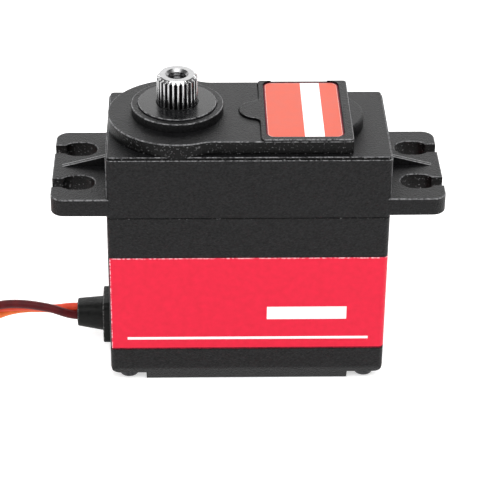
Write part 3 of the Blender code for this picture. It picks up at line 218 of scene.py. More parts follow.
# Output shaft
SPLINE_TEETH = 25
SPLINE_RADIUS = 2.925 * MM
SPLINE_ROOT = 2.55 * MM
SPLINE_SHARES = (0.5, 0.44, 0.19, 0.1, 0.0)
SPLINE_DEPTHS = (0.0, 0.12, 0.85, 1.0, 1.0)
SPLINE_CHAMFER = 0.45 * MM
GROOVE_SHARE = 0.55
SPLINE_LOW = 42.275 * MM
MOUTH_RADIUS = 1.65 * MM
THREAD_CREST = 1.25 * MM
THREAD_ROOT = 1.42 * MM
THREAD_PITCH = 0.5 * MM
THREAD_TURNS = 10
HOLE_DEPTH = 6.0 * MM
JOURNAL = 2.95 * MM
SHAFT_COLLAR = 3.5 * MM
SHAFT_LOW = 26.07 * MM
SHAFT_COLLAR_Z = mm(28.62, 38.85)
POT_SOCKET = 1.55 * MM
POT_SOCKET_TOP = 28.57 * MM
GEAR_TEETH = 32
GEAR_Z = mm(30.27, 32.87)
GEAR_FLANK = ((7.425 * MM, 0.369), (8.0 * MM, 0.234), (8.45 * MM, 0.083))

# Strain relief
FLANGE_X = mm(-21.6, -20.35)
FLANGE_HALF = 3.1 * MM
FLANGE_Z = mm(2.0, 9.1)
FLANGE_CORNER = 1.0 * MM
FLANGE_EDGE = 0.2 * MM
SLEEVE_X = mm(-21.15, -25.5)
SLEEVE_ROOT = mm(2.5, 2.5, 5.75)
SLEEVE_TIP = mm(2.05, 1.95, 6.0)
SLEEVE_EDGE = 0.2 * MM
SLEEVE_BORE = 1.55 * MM
SLEEVE_POWER = 2.6
SLEEVE_STEPS = 6
NECK_HALF = mm(2.6, 2.5)
NECK_GAP = 0.1 * MM
INNER_FLANGE_X = mm(-18.75, -17.65)
INNER_FLANGE_HALF = 3.7 * MM
INNER_FLANGE_Z = mm(3.45, 9.45)
LEAD_HEIGHT = 5.85 * MM

# Lead: three wires of 0.30 m twisted together, put away in a coil
WIRE_DIAMETER = 1.3 * MM
TWIST_LAY = 69.0 * MM
TWIST_EASE = 1.25
TWIST_START = radians(1)
NEST_BEND = radians(60)
NEST_STEP = 1.316 * MM
TAIL_PITCH = 1.52 * MM
RIBBON_FROM = 9.3 * MM
RIBBON_FROM_EASE = 4.5 * MM
RIBBON_TO = 27.0 * MM
RIBBON_TO_EASE = 8.0 * MM
LEAD_ROUTE = [
    mm(-16.0, 0.0, 5.6),
    mm(-19.0, 0.0, 5.75),
    mm(-22.0, 0.0, 5.85),
    mm(-25.5, 0.0, 6.0),
    mm(-28.0, 0.0, 6.35),
    mm(-31.0, 0.0, 6.85),
    mm(-34.0, 0.0, 7.05),
    mm(-37.0, 0.0, 6.7),
    mm(-39.5, -0.09, 5.8),
    mm(-41.45, -0.51, 4.95),
    mm(-43.4, -1.3, 4.0),
    mm(-45.9, -2.97, 2.9),
]
ROUTE_STEPS = 6
COIL_AT = mm(-58.048, 6.35)
COIL_RADIUS = 13.6 * MM
COIL_STEP = 1.4 * MM
COIL_LIFT = 2.2 * MM
COIL_START = radians(-49)
COIL_TURNS = 3
COIL_TURN_STEP = radians(6)
COIL_LEAN = pi / 3
RISE_FROM = radians(15)
RISE_TO = radians(-20)
DROP_FROM = radians(50)
DROP_TO = radians(15)
TAIL_BEND = 4.5 * MM
TAIL_STEPS = 12
TIE_ANGLE = radians(240)
TIE_HALF = 1.5 * MM
TIE_GAP = 0.3 * MM
TIE_THICKNESS = 0.4 * MM
TIE_CORNER = 1.1 * MM
COIL_HALF = mm(2.85, 2.6)
COIL_MIDDLE = 3.4 * MM

# Connector
CONNECTOR_ANGLE = radians(25)
CONNECTOR_X = mm(-9.952, 4.048)
CONNECTOR_HALF = 3.81 * MM
CONNECTOR_Z = mm(0.05, 2.59)
CONNECTOR_MIDDLE = (CONNECTOR_Z[0] + CONNECTOR_Z[1]) / 2
CONNECTOR_CORNER = 0.3 * MM
CONNECTOR_EDGE = 0.15 * MM
CONTACT_PITCH = 2.54 * MM
CONTACT_ROOM = 0.75 * MM
WINDOW_X = mm(-4.6, -1.4)
WINDOW_HALF = 0.8 * MM
LATCH_GAP = 0.18 * MM
LATCH_LOW = 0.85 * MM

# Facets
ROUND = 96
SMALL_ROUND = 32
CORNER_STEPS = 8
EDGE_STEPS = 3
WIRE_STEPS = 4
SHARP_ANGLE = radians(35)
STRAIGHT = radians(0.5)
WELD = 1e-7

# Directions, and turns that stand a flat outline up along the case or across it
X_AXIS = Vector((1.0, 0.0, 0.0))
Z_AXIS = Vector((0.0, 0.0, 1.0))
ALONG = Matrix.Rotation(pi / 2, 4, "X")
ACROSS = Matrix.Rotation(pi / 2, 4, "Z") @ ALONG

# Places of the looks in a piece's list: faces, painted-highlight edges, rougher painted-shade walls,
# and edges with a stronger painted highlight
FACE = 0
EDGE_HIGHLIGHT = 1
SHADED = 2
STRONG_HIGHLIGHT = 3

# Places of the looks in a label's list: ground, white print, painted-highlight rim, painted-shade rim
PRINT = 1
HIGHLIT_RIM = 2
SHADED_RIM = 3

# Places of the looks in the shaft's list: sides, grooves and thread in painted shade, and the end face
GROOVE_SHADE = 1
THREAD_SHADE = 2
CROWN = 3
MOST_LOOKS = 4

# Painted-highlight edges: the widest strip, its leans as it rises, a slanting face's normal and a round
# corner's
HIGHLIGHT_WIDEST = 0.2 * MM
INWARDS = 1
OUTWARDS = -1
SLANT = (0.2, 0.95)
CORNER_HIGHLIGHT = (cos(radians(34)), cos(radians(11)))

# Noise and grain of the finishes, and how deep the grain goes
NOISE_DETAIL = 6.0
GRAIN_DETAIL = 3.0
METAL_GRAIN = 3000.0
FINE = 0.01 * MM
COARSE = 0.14 * MM
WHITE = (1.0, 1.0, 1.0, 1.0)


# Materials
def material(
    name, colours, scale, rough=(0.4, 0.5), metallic=0.0, bump=None, specular=0.5, blend=(0.3, 0.7)
):
    """A Principled finish whose colour wanders with noise, and so does any value given as a pair.

    The bump is the scale, strength and depth of its grain. The blend is the noise's level where the
    first colour ends and where the second begins.
    """
    made = bpy.data.materials.new(name)
    made.use_nodes = True
    tree = made.node_tree
    shader = tree.nodes["Principled BSDF"]
    shader.inputs["Metallic"].default_value = metallic
    place = tree.nodes.new("ShaderNodeTexCoord")
    noise = tree.nodes.new("ShaderNodeTexNoise")
    noise.inputs["Scale"].default_value = scale
    noise.inputs["Detail"].default_value = NOISE_DETAIL
    tree.links.new(place.outputs["Object"], noise.inputs["Vector"])
    ramp = tree.nodes.new("ShaderNodeValToRGB")
    for stop, level, colour in zip(ramp.color_ramp.elements, blend, colours):
        stop.position = level
        stop.color = (*colour, 1.0)
    tree.links.new(noise.outputs["Fac"], ramp.inputs["Fac"])
    tree.links.new(ramp.outputs["Color"], shader.inputs["Base Color"])
    for socket, value in (("Roughness", rough), ("Specular IOR Level", specular)):
        if isinstance(value, float):
            shader.inputs[socket].default_value = value
            continue
        spread = tree.nodes.new("ShaderNodeMapRange")
        for end, level in zip(("From Min", "From Max", "To Min", "To Max"), (*blend, *value)):
            spread.inputs[end].default_value = level
        tree.links.new(noise.outputs["Fac"], spread.inputs["Value"])
        tree.links.new(spread.outputs["Result"], shader.inputs[socket])
    if bump:
        grain = tree.nodes.new("ShaderNodeTexNoise")
        grain.inputs["Scale"].default_value = bump[0]
        grain.inputs["Detail"].default_value = GRAIN_DETAIL
        tree.links.new(place.outputs["Object"], grain.inputs["Vector"])
        lift = tree.nodes.new("ShaderNodeBump")
        lift.inputs["Strength"].default_value = bump[1]
        lift.inputs["Distance"].default_value = bump[2]
        tree.links.new(grain.outputs["Fac"], lift.inputs["Height"])
        tree.links.new(lift.outputs["Normal"], shader.inputs["Normal"])
    return made


def metal(name, colours, scale, rough, grain):
    """Bare metal with a fine grain."""
    return material(name, colours, scale, rough, metallic=1.0, bump=(METAL_GRAIN, grain, FINE))


def wire_look(name, colours):
    """Satin insulation with a faint unevenness."""
    return material(name, colours, 700.0, (0.45, 0.55), bump=(1500.0, 0.15, FINE), specular=0.15)


CASE = material(
    "case_plastic",
    ((0.001, 0.001, 0.0012), (0.009, 0.009, 0.0098)),
    scale=2800.0,
    rough=(0.4, 0.46),
    bump=(4500.0, 1.0, COARSE),
    specular=(0.17, 0.22),
)
# Painted highlight for rounded plastic edges, broken into specks
CASE_EDGE_HIGHLIGHT = material(
    "case_edge_highlight",
    ((0.015, 0.015, 0.016), (0.21, 0.21, 0.215)),
    scale=2600.0,
    bump=(4500.0, 0.5, COARSE),
    specular=0.2,
    blend=(0.36, 0.62),
)
# Painted shade for walls, steps and the seam's rim, rougher, with light specks
CASE_SHADED = material(
    "case_shaded_rough_wall",
    ((0.001, 0.001, 0.001), (0.21, 0.21, 0.213)),
    scale=3200.0,
    rough=(0.4, 0.55),
    bump=(4500.0, 0.8, COARSE),
    specular=0.16,
    blend=(0.6, 0.78),
)
# Stronger painted highlight for the ribs' top edges
CASE_STRONG_HIGHLIGHT = material(
    "case_strong_edge_highlight",
    ((0.05, 0.05, 0.052), (0.24, 0.24, 0.245)),
    scale=2600.0,
    specular=0.2,
    blend=(0.25, 0.5),
)
CASE_LOOKS = [CASE, CASE_EDGE_HIGHLIGHT, CASE_SHADED, CASE_STRONG_HIGHLIGHT]
LABEL = material(
    "label_crimson",
    ((0.64, 0.004, 0.030), (0.71, 0.006, 0.038)),
    scale=900.0,
    rough=(0.38, 0.48),
    bump=(2500.0, 0.1, FINE),
    specular=0.25,
)
# Painted highlight, pale pink, along the stickers' cut rims
LABEL_EDGE_HIGHLIGHT = material(
    "label_edge_highlight",
    ((0.62, 0.03, 0.07), (0.92, 0.45, 0.5)),
    scale=2500.0,
    specular=0.25,
    blend=(0.42, 0.6),
)
# Painted shade, dark red, along the stickers' lowest rims and outlines
LABEL_EDGE_SHADE = material(
    "label_edge_shade",
    ((0.06, 0.002, 0.008), (0.2, 0.006, 0.02)),
    scale=3000.0,
    rough=(0.5, 0.6),
    specular=0.1,
)
LABEL_PRINT = material(
    "label_white",
    ((0.84, 0.80, 0.80), (0.93, 0.88, 0.88)),
    scale=1500.0,
    specular=0.25,
)
TOP_LABEL = material(
    "label_salmon",
    ((0.56, 0.059, 0.022), (0.60, 0.067, 0.027)),
    scale=900.0,
    bump=(2500.0, 0.1, FINE),
    specular=0.31,
)
# Painted highlight along the top sticker's rim
TOP_LABEL_EDGE_HIGHLIGHT = material(
    "top_label_edge_highlight",
    ((0.58, 0.14, 0.10), (0.62, 0.34, 0.30)),
    scale=2500.0,
    specular=0.35,
)
CAP = material(
    "cap_plastic",
    ((0.004, 0.004, 0.0045), (0.010, 0.010, 0.011)),
    scale=900.0,
    rough=(0.22, 0.32),
    bump=(1800.0, 0.08, FINE),
    specular=0.22,
)
STEEL = metal("steel", ((0.52, 0.52, 0.525), (0.68, 0.68, 0.68)), 1800.0, (0.14, 0.26), 0.05)
# The shaft's end face and countersink, darker than its sides
DARKER_END_STEEL = metal("darker_end_steel", ((0.19, 0.19, 0.193), (0.27, 0.27, 0.27)), 1800.0, (0.25, 0.4), 0.1)
# Blackened steel for screws and inner parts, also used as painted shade in the spline's grooves
DARK_STEEL_AND_GROOVE_SHADE = metal("blackened_steel_and_groove_shade", ((0.02, 0.02, 0.022), (0.06, 0.06, 0.063)), 2000.0, (0.25, 0.4), 0.15)
# Painted shade for the threaded hole
THREAD_SHADE_STEEL = metal("thread_shade_steel", ((0.03, 0.03, 0.031), (0.1, 0.1, 0.102)), 2000.0, (0.2, 0.35), 0.15)
BRASS = metal("brass", ((0.70, 0.48, 0.18), (0.80, 0.60, 0.28)), 1500.0, (0.22, 0.36), 0.1)
RUBBER = material(
    "rubber",
    ((0.002, 0.0022, 0.002), (0.007, 0.0075, 0.007)),
    scale=1400.0,
    rough=(0.42, 0.6),
    bump=(2200.0, 0.6, COARSE),
    specular=0.15,
)
# Painted highlight for the rubber's rounded edges, broken into specks
RUBBER_EDGE_HIGHLIGHT = material(
    "rubber_edge_highlight",
    ((0.006, 0.006, 0.006), (0.12, 0.12, 0.12)),
    scale=2600.0,
    rough=(0.45, 0.6),
    bump=(2200.0, 0.5, COARSE),
    specular=0.2,
    blend=(0.45, 0.66),
)
BOARD = material(
    "circuit_board",
    ((0.012, 0.12, 0.045), (0.02, 0.18, 0.07)),
    scale=700.0,
    rough=(0.35, 0.5),
    bump=(1500.0, 0.1, FINE),
)
CHIP = material(
    "chip_black",
    ((0.012, 0.012, 0.012), (0.022, 0.022, 0.022)),
    scale=1800.0,
    rough=(0.5, 0.62),
    bump=(2600.0, 0.2, FINE),
)
FLOOR = material("floor", ((0.68, 0.68, 0.68), (0.7, 0.7, 0.7)), scale=20.0, rough=(0.7, 0.8))
WIRES = {
    "brown": wire_look("wire_brown", ((0.055, 0.004, 0.006), (0.10, 0.007, 0.009))),
    "red": wire_look("wire_red", ((0.62, 0.05, 0.022), (0.74, 0.075, 0.035))),
    "orange": wire_look("wire_orange", ((0.72, 0.14, 0.03), (0.80, 0.19, 0.045))),
}
SLOT_LOOKS = {
    "case_plastic": CASE,
    "label_red": LABEL,
    "label_salmon": TOP_LABEL,
    "gloss_black": CAP,
    "steel": STEEL,
    "dark_steel": DARK_STEEL_AND_GROOVE_SHADE,
    "brass": BRASS,
    "rubber": RUBBER,
    "board_green": BOARD,
    "chip_black": CHIP,
    **{f"wire_{colour}": look for colour, look in WIRES.items()},
}


# Outlines, run anticlockwise
def about(middle, half):
    """The range that reaches as far to each side of its middle."""
    return (middle - half, middle + half)


def flipped_x(points):
    """The points mirrored end to end, still run the same way round."""
    return [(-x, y) for x, y in reversed(points)]


def flipped_y(points):
    """The points mirrored front to back, still run the same way round."""
    return [(x, -y) for x, y in reversed(points)]


def arc(cx, cy, radius, start, end, steps):
    span = [start + (end - start) * i / steps for i in range(steps + 1)]
    return [(cx + radius * cos(a), cy + radius * sin(a)) for a in span]


def circle(radius, cx=0.0, cy=0.0, steps=ROUND):
    return arc(cx, cy, radius, 0.0, 2 * pi * (1 - 1 / steps), steps - 1)


def rounded(x, y, radius):
    """A rectangle over the x and y ranges with round corners."""
    corners = [(1, 1, 0.0), (0, 1, pi / 2), (0, 0, pi), (1, 0, 3 * pi / 2)]
    points = []
    for right, back, start in corners:
        cx = x[right] - radius if right else x[right] + radius
        cy = y[back] - radius if back else y[back] + radius
        points += arc(cx, cy, radius, start, start + pi / 2, CORNER_STEPS)
    return points


def softened(outline, radius):
    """A polygon whose every corner is cut back a little and rounded with one point."""
    points = []
    for i, here in enumerate(outline):
        p = Vector(here)
        before = Vector(outline[i - 1]) - p
        after = Vector(outline[(i + 1) % len(outline)]) - p
        first = p + before.normalized() * min(radius, before.length / 3)
        last = p + after.normalized() * min(radius, after.length / 3)
        points += [first, (first + last + 2 * p) / 4, last]
    return points


def inset(outline, distance):
    """The outline moved inwards by a distance."""
    moved = []
    for i, here in enumerate(outline):
        p = Vector(here)
        first = (p - Vector(outline[i - 1])).normalized()
        second = (Vector(outline[(i + 1) % len(outline)]) - p).normalized()
        n1 = Vector((-first.y, first.x))
        n2 = Vector((-second.y, second.x))
        moved.append(p + distance * (n1 + n2) / (1 + n1.dot(n2)))
    return moved


def edges(low, high, low_edge, high_edge):
    """Insets and heights of a wall whose lower and upper rims are rounded."""
    turns = [i / EDGE_STEPS * pi / 2 for i in range(EDGE_STEPS + 1)]
    bottom = [(low_edge * (1 - sin(a)), low + low_edge * (1 - cos(a))) for a in turns]
    top = [(high_edge * (1 - cos(a)), high - high_edge * (1 - sin(a))) for a in turns]
    return (bottom if low_edge else [(0.0, low)]) + (top if high_edge else [(0.0, high)])


# Meshes
def finished(work):
    bmesh.ops.remove_doubles(work, verts=work.verts, dist=WELD)
    bmesh.ops.recalc_face_normals(work, faces=work.faces)
    mesh = bpy.data.meshes.new("mesh")
    work.to_mesh(mesh)
    work.free()
    return mesh


def loft(rings, closed=False, looks=None):
    """A mesh through rings of equally many points, capped at both ends unless it closes on itself.

    The strip after each ring takes its place in the piece's looks.
    """
    work = bmesh.new()
    rows = [[work.verts.new(p) for p in ring] for ring in rings]
    count = len(rows[0])
    pairs = list(zip(rows, rows[1:]))
    if closed:
        pairs.append((rows[-1], rows[0]))
    for number, (low, high) in enumerate(pairs):
        for i in range(count):
            k = (i + 1) % count
            face = work.faces.new((low[i], low[k], high[k], high[i]))
            face.material_index = looks[number] if looks else FACE
    if not closed:
        work.faces.new(rows[0][::-1])
        work.faces.new(rows[-1])
    return finished(work)


def stacked(outline, profile):
    """Rings of the outline at each inset and height of the profile."""
    return [[(p[0], p[1], z) for p in inset(outline, d)] for d, z in profile]


def slab(outline, profile, turn=None, wall=FACE, leans=(INWARDS,), edge_look=EDGE_HIGHLIGHT):
    """An upright solid: the outline at each inset and height of the profile.

    Narrow strips that lean one of the ways given as they rise take the edge look, by default a painted
    highlight.
    """
    looks = []
    for (d0, z0), (d1, z1) in zip(profile, profile[1:]):
        leaning = z1 > z0 and any(lean * (d1 - d0) > 0.0 for lean in leans)
        looks.append(edge_look if leaning and hypot(d1 - d0, z1 - z0) < HIGHLIGHT_WIDEST else wall)
    mesh = loft(stacked(outline, profile), looks=looks)
    if turn:
        mesh.transform(turn)
    return mesh


def plain(outline, z, turn=None):
    return slab(outline, [(0.0, z[0]), (0.0, z[1])], turn)


def block(x, y, z):
    return plain([(x[0], y[0]), (x[1], y[0]), (x[1], y[1]), (x[0], y[1])], z)


def rod(radius, z, x=0.0, y=0.0):
    return plain(circle(radius, x, y), z)


def lathe(profile, x=0.0, y=0.0, steps=ROUND):
    """A solid turned about an upright axis, from a closed profile of radii and heights."""
    turns = [2 * pi * i / steps for i in range(steps)]
    return loft([[(x + r * cos(a), y + r * sin(a), z) for r, z in profile] for a in turns], closed=True)


def placed(name, data):
    """A new object in the scene."""
    made = bpy.data.objects.new(name, data)
    bpy.context.scene.collection.objects.link(made)
    return made


def helper(mesh):
    """An object for a Boolean, whose empty slots keep the places of its faces' looks."""
    for _ in range(MOST_LOOKS):
        mesh.materials.append(None)
    return placed("helper", mesh)


def carved(body, kept=(), joined=(), removed=()):
    """The body, of which what lies in some meshes is kept, with others joined and then others removed."""
    base = helper(body)
    tools = []
    for operation, meshes in (("INTERSECT", kept), ("UNION", joined), ("DIFFERENCE", removed)):
        for mesh in meshes:
            tools.append(helper(mesh))
            step = base.modifiers.new("step", "BOOLEAN")
            step.operation = operation
            step.object = tools[-1]
            step.solver = "EXACT"
    bpy.context.view_layer.update()
    graph = bpy.context.evaluated_depsgraph_get()
    mesh = bpy.data.meshes.new_from_object(base.evaluated_get(graph))
    for used in [base, *tools]:
        bpy.data.objects.remove(used, do_unlink=True)
    work = bmesh.new()
    work.from_mesh(mesh)
    bmesh.ops.dissolve_degenerate(work, edges=work.edges, dist=WELD)
    spare = [v for v in work.verts if len(v.link_edges) == 2 and v.calc_edge_angle() < STRAIGHT]
    bmesh.ops.dissolve_verts(work, verts=spare)
    return finished(work)


def piece(name, mesh, looks, replaces, body="case"):
    """A smooth-shaded piece of the object that rides on a body and stands for CAD nodes."""
    chosen = [face.material_index if face.material_index < len(looks) else FACE for face in mesh.polygons]
    mesh.materials.clear()
    for look in looks:
        mesh.materials.append(look)
    mesh.polygons.foreach_set("material_index", chosen)
    mesh.shade_smooth()
    mesh.set_sharp_from_angle(angle=SHARP_ANGLE)
    made = placed(name, mesh)
    weigh = made.modifiers.new("weighted_normals", "WEIGHTED_NORMAL")
    weigh.keep_sharp = True
    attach(made, body)
    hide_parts(*replaces)
    return made


def split(mesh, axis, places):
    """Cuts the mesh's faces straight across an axis, at places along it."""
    work = bmesh.new()
    work.from_mesh(mesh)
    for place in places:
        every = work.verts[:] + work.edges[:] + work.faces[:]
        bmesh.ops.bisect_plane(work, geom=every, plane_co=place * axis, plane_no=axis, dist=WELD)
    work.to_mesh(mesh)
    work.free()


def within(value, span):
    return span[0] < value < span[1]


def painted(mesh, look, chosen):
    """The mesh, with its chosen faces in one of its looks."""
    for face in mesh.polygons:
        if chosen(face):
            face.material_index = look
    return mesh


def with_highlit_corners(mesh):
    """The mesh, with a painted highlight strip down each upright corner."""
    return painted(mesh, EDGE_HIGHLIGHT, lambda face: within(abs(face.normal.x), CORNER_HIGHLIGHT))


# Camera, lights and floor
def make_camera():
    camera = bpy.data.cameras.new("camera")
    camera.lens = CAMERA_LENS
    camera.sensor_width = CAMERA_SENSOR
    camera.sensor_fit = "HORIZONTAL"
    view = placed("camera", camera)
    turn = Matrix.Rotation(-CAMERA_YAW, 4, "Z") @ Matrix.Rotation(pi / 2 - CAMERA_PITCH, 4, "X")
    view.matrix_world = Matrix.Translation(CAMERA_AT) @ turn @ Matrix.Rotation(CAMERA_ROLL, 4, "Z")
    bpy.context.scene.camera = view
    bpy.context.scene.view_settings.view_transform = "Standard"


def make_lights():
    world = bpy.data.worlds.new("studio")
    world.use_nodes = True
    sky = world.node_tree.nodes["Background"].inputs
    sky["Color"].default_value = WHITE
    sky["Strength"].default_value = WORLD_STRENGTH
    bpy.context.scene.world = world
    for name, (at, width, height, brightness) in SOFTBOXES.items():
        lamp = bpy.data.lights.new(name, "AREA")
        lamp.shape = "RECTANGLE"
        lamp.size = width
        lamp.size_y = height
        lamp.energy = brightness * pi * width * height
        light = placed(name, lamp)
        light.location = at
        light.rotation_euler = (-Vector(at)).to_track_quat("-Z", "Y").to_euler()
        light.visible_camera = False


def make_floor():
    work = bmesh.new()
    bmesh.ops.create_grid(work, x_segments=1, y_segments=1, size=FLOOR_SIZE / 2)
    floor = placed("floor", finished(work))
    floor.location = (0.0, 0.0, -FLOOR_GAP)
    glow = FLOOR.node_tree.nodes["Principled BSDF"].inputs
    glow["Emission Color"].default_value = WHITE
    glow["Emission Strength"].default_value = FLOOR_GLOW
    floor.data.materials.append(FLOOR)


# Case
def case_outline():
    return rounded(about(0.0, HALF_LENGTH), about(0.0, HALF_WIDTH), CASE_CORNER)


def posts(radius, z):
    return [rod(radius, z, x, y) for x, y in SCREW_PLACES]


def cavity(z):
    """A room inside the walls that leaves the four screw posts standing."""
    room = block(about(0.0, HALF_LENGTH - WALL), about(0.0, HALF_WIDTH - WALL), z)
    return carved(room, removed=posts(POST_RADIUS, (z[0] - OVERCUT, z[1] + OVERCUT)))


def neck_hole():
    x = (-HALF_LENGTH - OVERCUT, WALL + OVERCUT - HALF_LENGTH)
    return block(x, about(0.0, NECK_HALF[0] + NECK_GAP), about(LEAD_HEIGHT, NECK_HALF[1] + NECK_GAP))


def hump_outline():
    """The round end about the output shaft, run into straight sides by a concave fillet."""
    fillet_y = HUMP_HALF + HUMP_FILLET
    fillet_x = sqrt((BOSS_RADIUS + HUMP_FILLET) ** 2 - fillet_y**2)
    lean = atan2(fillet_y, fillet_x)
    upper = arc(OUTPUT_X + fillet_x, fillet_y, HUMP_FILLET, 3 * pi / 2, pi + lean, CORNER_STEPS)
    end = arc(OUTPUT_X, 0.0, BOSS_RADIUS, lean, 2 * pi - lean, ROUND)
    right = arc(HUMP_END - FRAME_CORNER, FRAME_CORNER - HUMP_HALF, FRAME_CORNER, -pi / 2, 0.0, CORNER_STEPS)
    return right + flipped_y(right) + upper + end[1:-1] + flipped_y(upper)


def frame_outline():
    """The label's frame, with the idler boss run into its left side by concave fillets."""
    fillet_x = FRAME_START - IDLER_FILLET
    swing = IDLER_BOSS + IDLER_FILLET
    fillet_y = sqrt(swing**2 - (IDLER_X - fillet_x) ** 2)
    lean = atan2(fillet_y, IDLER_X - fillet_x)
    boss = arc(IDLER_X, 0.0, IDLER_BOSS, pi - lean, pi + lean, ROUND // 2)
    upper = arc(fillet_x, fillet_y, IDLER_FILLET, 0.0, -lean, CORNER_STEPS)
    points = rounded((FRAME_START, HUMP_END - SEAM), about(0.0, HUMP_HALF - SEAM), FRAME_CORNER)
    half = len(points) // 2
    return points[:half] + upper + boss[1:-1] + flipped_y(upper) + points[half:]


def ear(side):
    """One ear, whose underside rises a little towards its end."""
    front = [(HALF_LENGTH - 2 * WALL, -EAR_HALF)]
    front += arc(EAR_REACH - EAR_CORNER, EAR_CORNER - EAR_HALF, EAR_CORNER, -pi / 2, 0.0, CORNER_STEPS)
    outline = front + flipped_y(front)
    if side < 0:
        outline = flipped_x(outline)
    mesh = slab(outline, edges(EAR_LOW, EAR_TOP, EAR_EDGE, EAR_EDGE))
    for vertex in mesh.vertices:
        if vertex.co.z < (EAR_LOW + EAR_TOP) / 2:
            reach = (abs(vertex.co.x) - HALF_LENGTH) / (EAR_REACH - HALF_LENGTH)
            vertex.co.z += EAR_TAPER * max(reach, 0.0)
    return mesh


def ear_slot(side, y):
    """An oval hole with a narrower slot out to the ear's end, flared at both rims."""
    radius = HOLE_WIDTH / 2
    spread = (HOLE_LENGTH - HOLE_WIDTH) / 2
    half = SLOT_WIDTH / 2
    mouth = atan2(half, sqrt(radius**2 - half**2))
    end = EAR_REACH + OVERCUT
    points = [(end, y + half)]
    points += arc(HOLE_X + spread, y, radius, mouth, pi / 2, CORNER_STEPS)
    points += arc(HOLE_X - spread, y, radius, pi / 2, 3 * pi / 2, 2 * CORNER_STEPS)
    points += arc(HOLE_X + spread, y, radius, 3 * pi / 2, 2 * pi - mouth, CORNER_STEPS)
    points.append((end, y - half))
    if side < 0:
        points = flipped_x(points)
    profile = [
        (-SLOT_FLARE, EAR_LOW - OVERCUT),
        (-SLOT_FLARE, EAR_LOW),
        (0.0, EAR_LOW + SLOT_FLARE),
        (0.0, EAR_TOP - SLOT_FLARE),
        (-SLOT_FLARE, EAR_TOP),
        (-SLOT_FLARE, EAR_TOP + OVERCUT),
    ]
    # The hole's walls are in painted shade and its upper flared rim carries a painted highlight
    return slab(points, profile, wall=SHADED, leans=(OUTWARDS,))


def ear_rib(side):
    """A thin three-cornered web between the ear and the wall."""
    wall = HALF_LENGTH - WALL / 2
    tip = HALF_LENGTH + RIB_LENGTH
    sink = (EAR_LOW + EAR_TOP) / 2
    crest = EAR_TOP + RIB_HEIGHT * (tip - wall) / RIB_LENGTH
    points = [(wall, sink), (tip, sink), (tip, EAR_TOP), (wall, crest)]
    if side < 0:
        points = flipped_x(points)
    profile = edges(-RIB_HALF, RIB_HALF, RIB_EDGE, RIB_EDGE)
    line = RIB_HALF - RIB_EDGE - RIB_HIGHLIGHT_LINE
    profile.insert(EDGE_STEPS + 1, (0.0, -line))
    # Its sides are in painted shade; its top edges and a line along the back of its top carry a strong
    # painted highlight
    mesh = slab(points, profile, ALONG, SHADED, (INWARDS, OUTWARDS), STRONG_HIGHLIGHT)
    return painted(mesh, STRONG_HIGHLIGHT, lambda face: face.normal.z > SLANT[0] and face.center.y > line)


def label_frame(low):
    """The label's frame, whose left side and idler boss are in painted shade down to a groove beside them.
    """
    mesh = slab(frame_outline(), edges(low, Z_FRAME, 0.0, FRAME_EDGE), wall=SHADED)
    return painted(mesh, SHADED, lambda face: face.normal.x < -SLANT[0])


def frame_groove():
    """What is cut away along the left side of the label's frame."""
    z = (Z_HUMP - FRAME_GROOVE_DEPTH, Z_FRAME + OVERCUT)
    # The groove's walls are in painted shade
    outside = slab(inset(frame_outline(), -FRAME_GROOVE), [(0.0, z[0]), (0.0, z[1])], wall=SHADED)
    inside = plain(inset(frame_outline(), SEAM), (z[0] - OVERCUT, z[1] + OVERCUT))
    left = block((-HALF_LENGTH, FRAME_START + FRAME_GROOVE), about(0.0, HUMP_HALF - WALL / 2), z)
    return carved(outside, kept=[left], removed=[inside])


def with_dark_step(mesh, low):
    """The mesh, with the upright step above a height in painted shade."""

    def unhighlit_step(face):
        return face.material_index == FACE and face.center.z > low and face.normal.z < SLANT[1]

    return painted(mesh, SHADED, unhighlit_step)


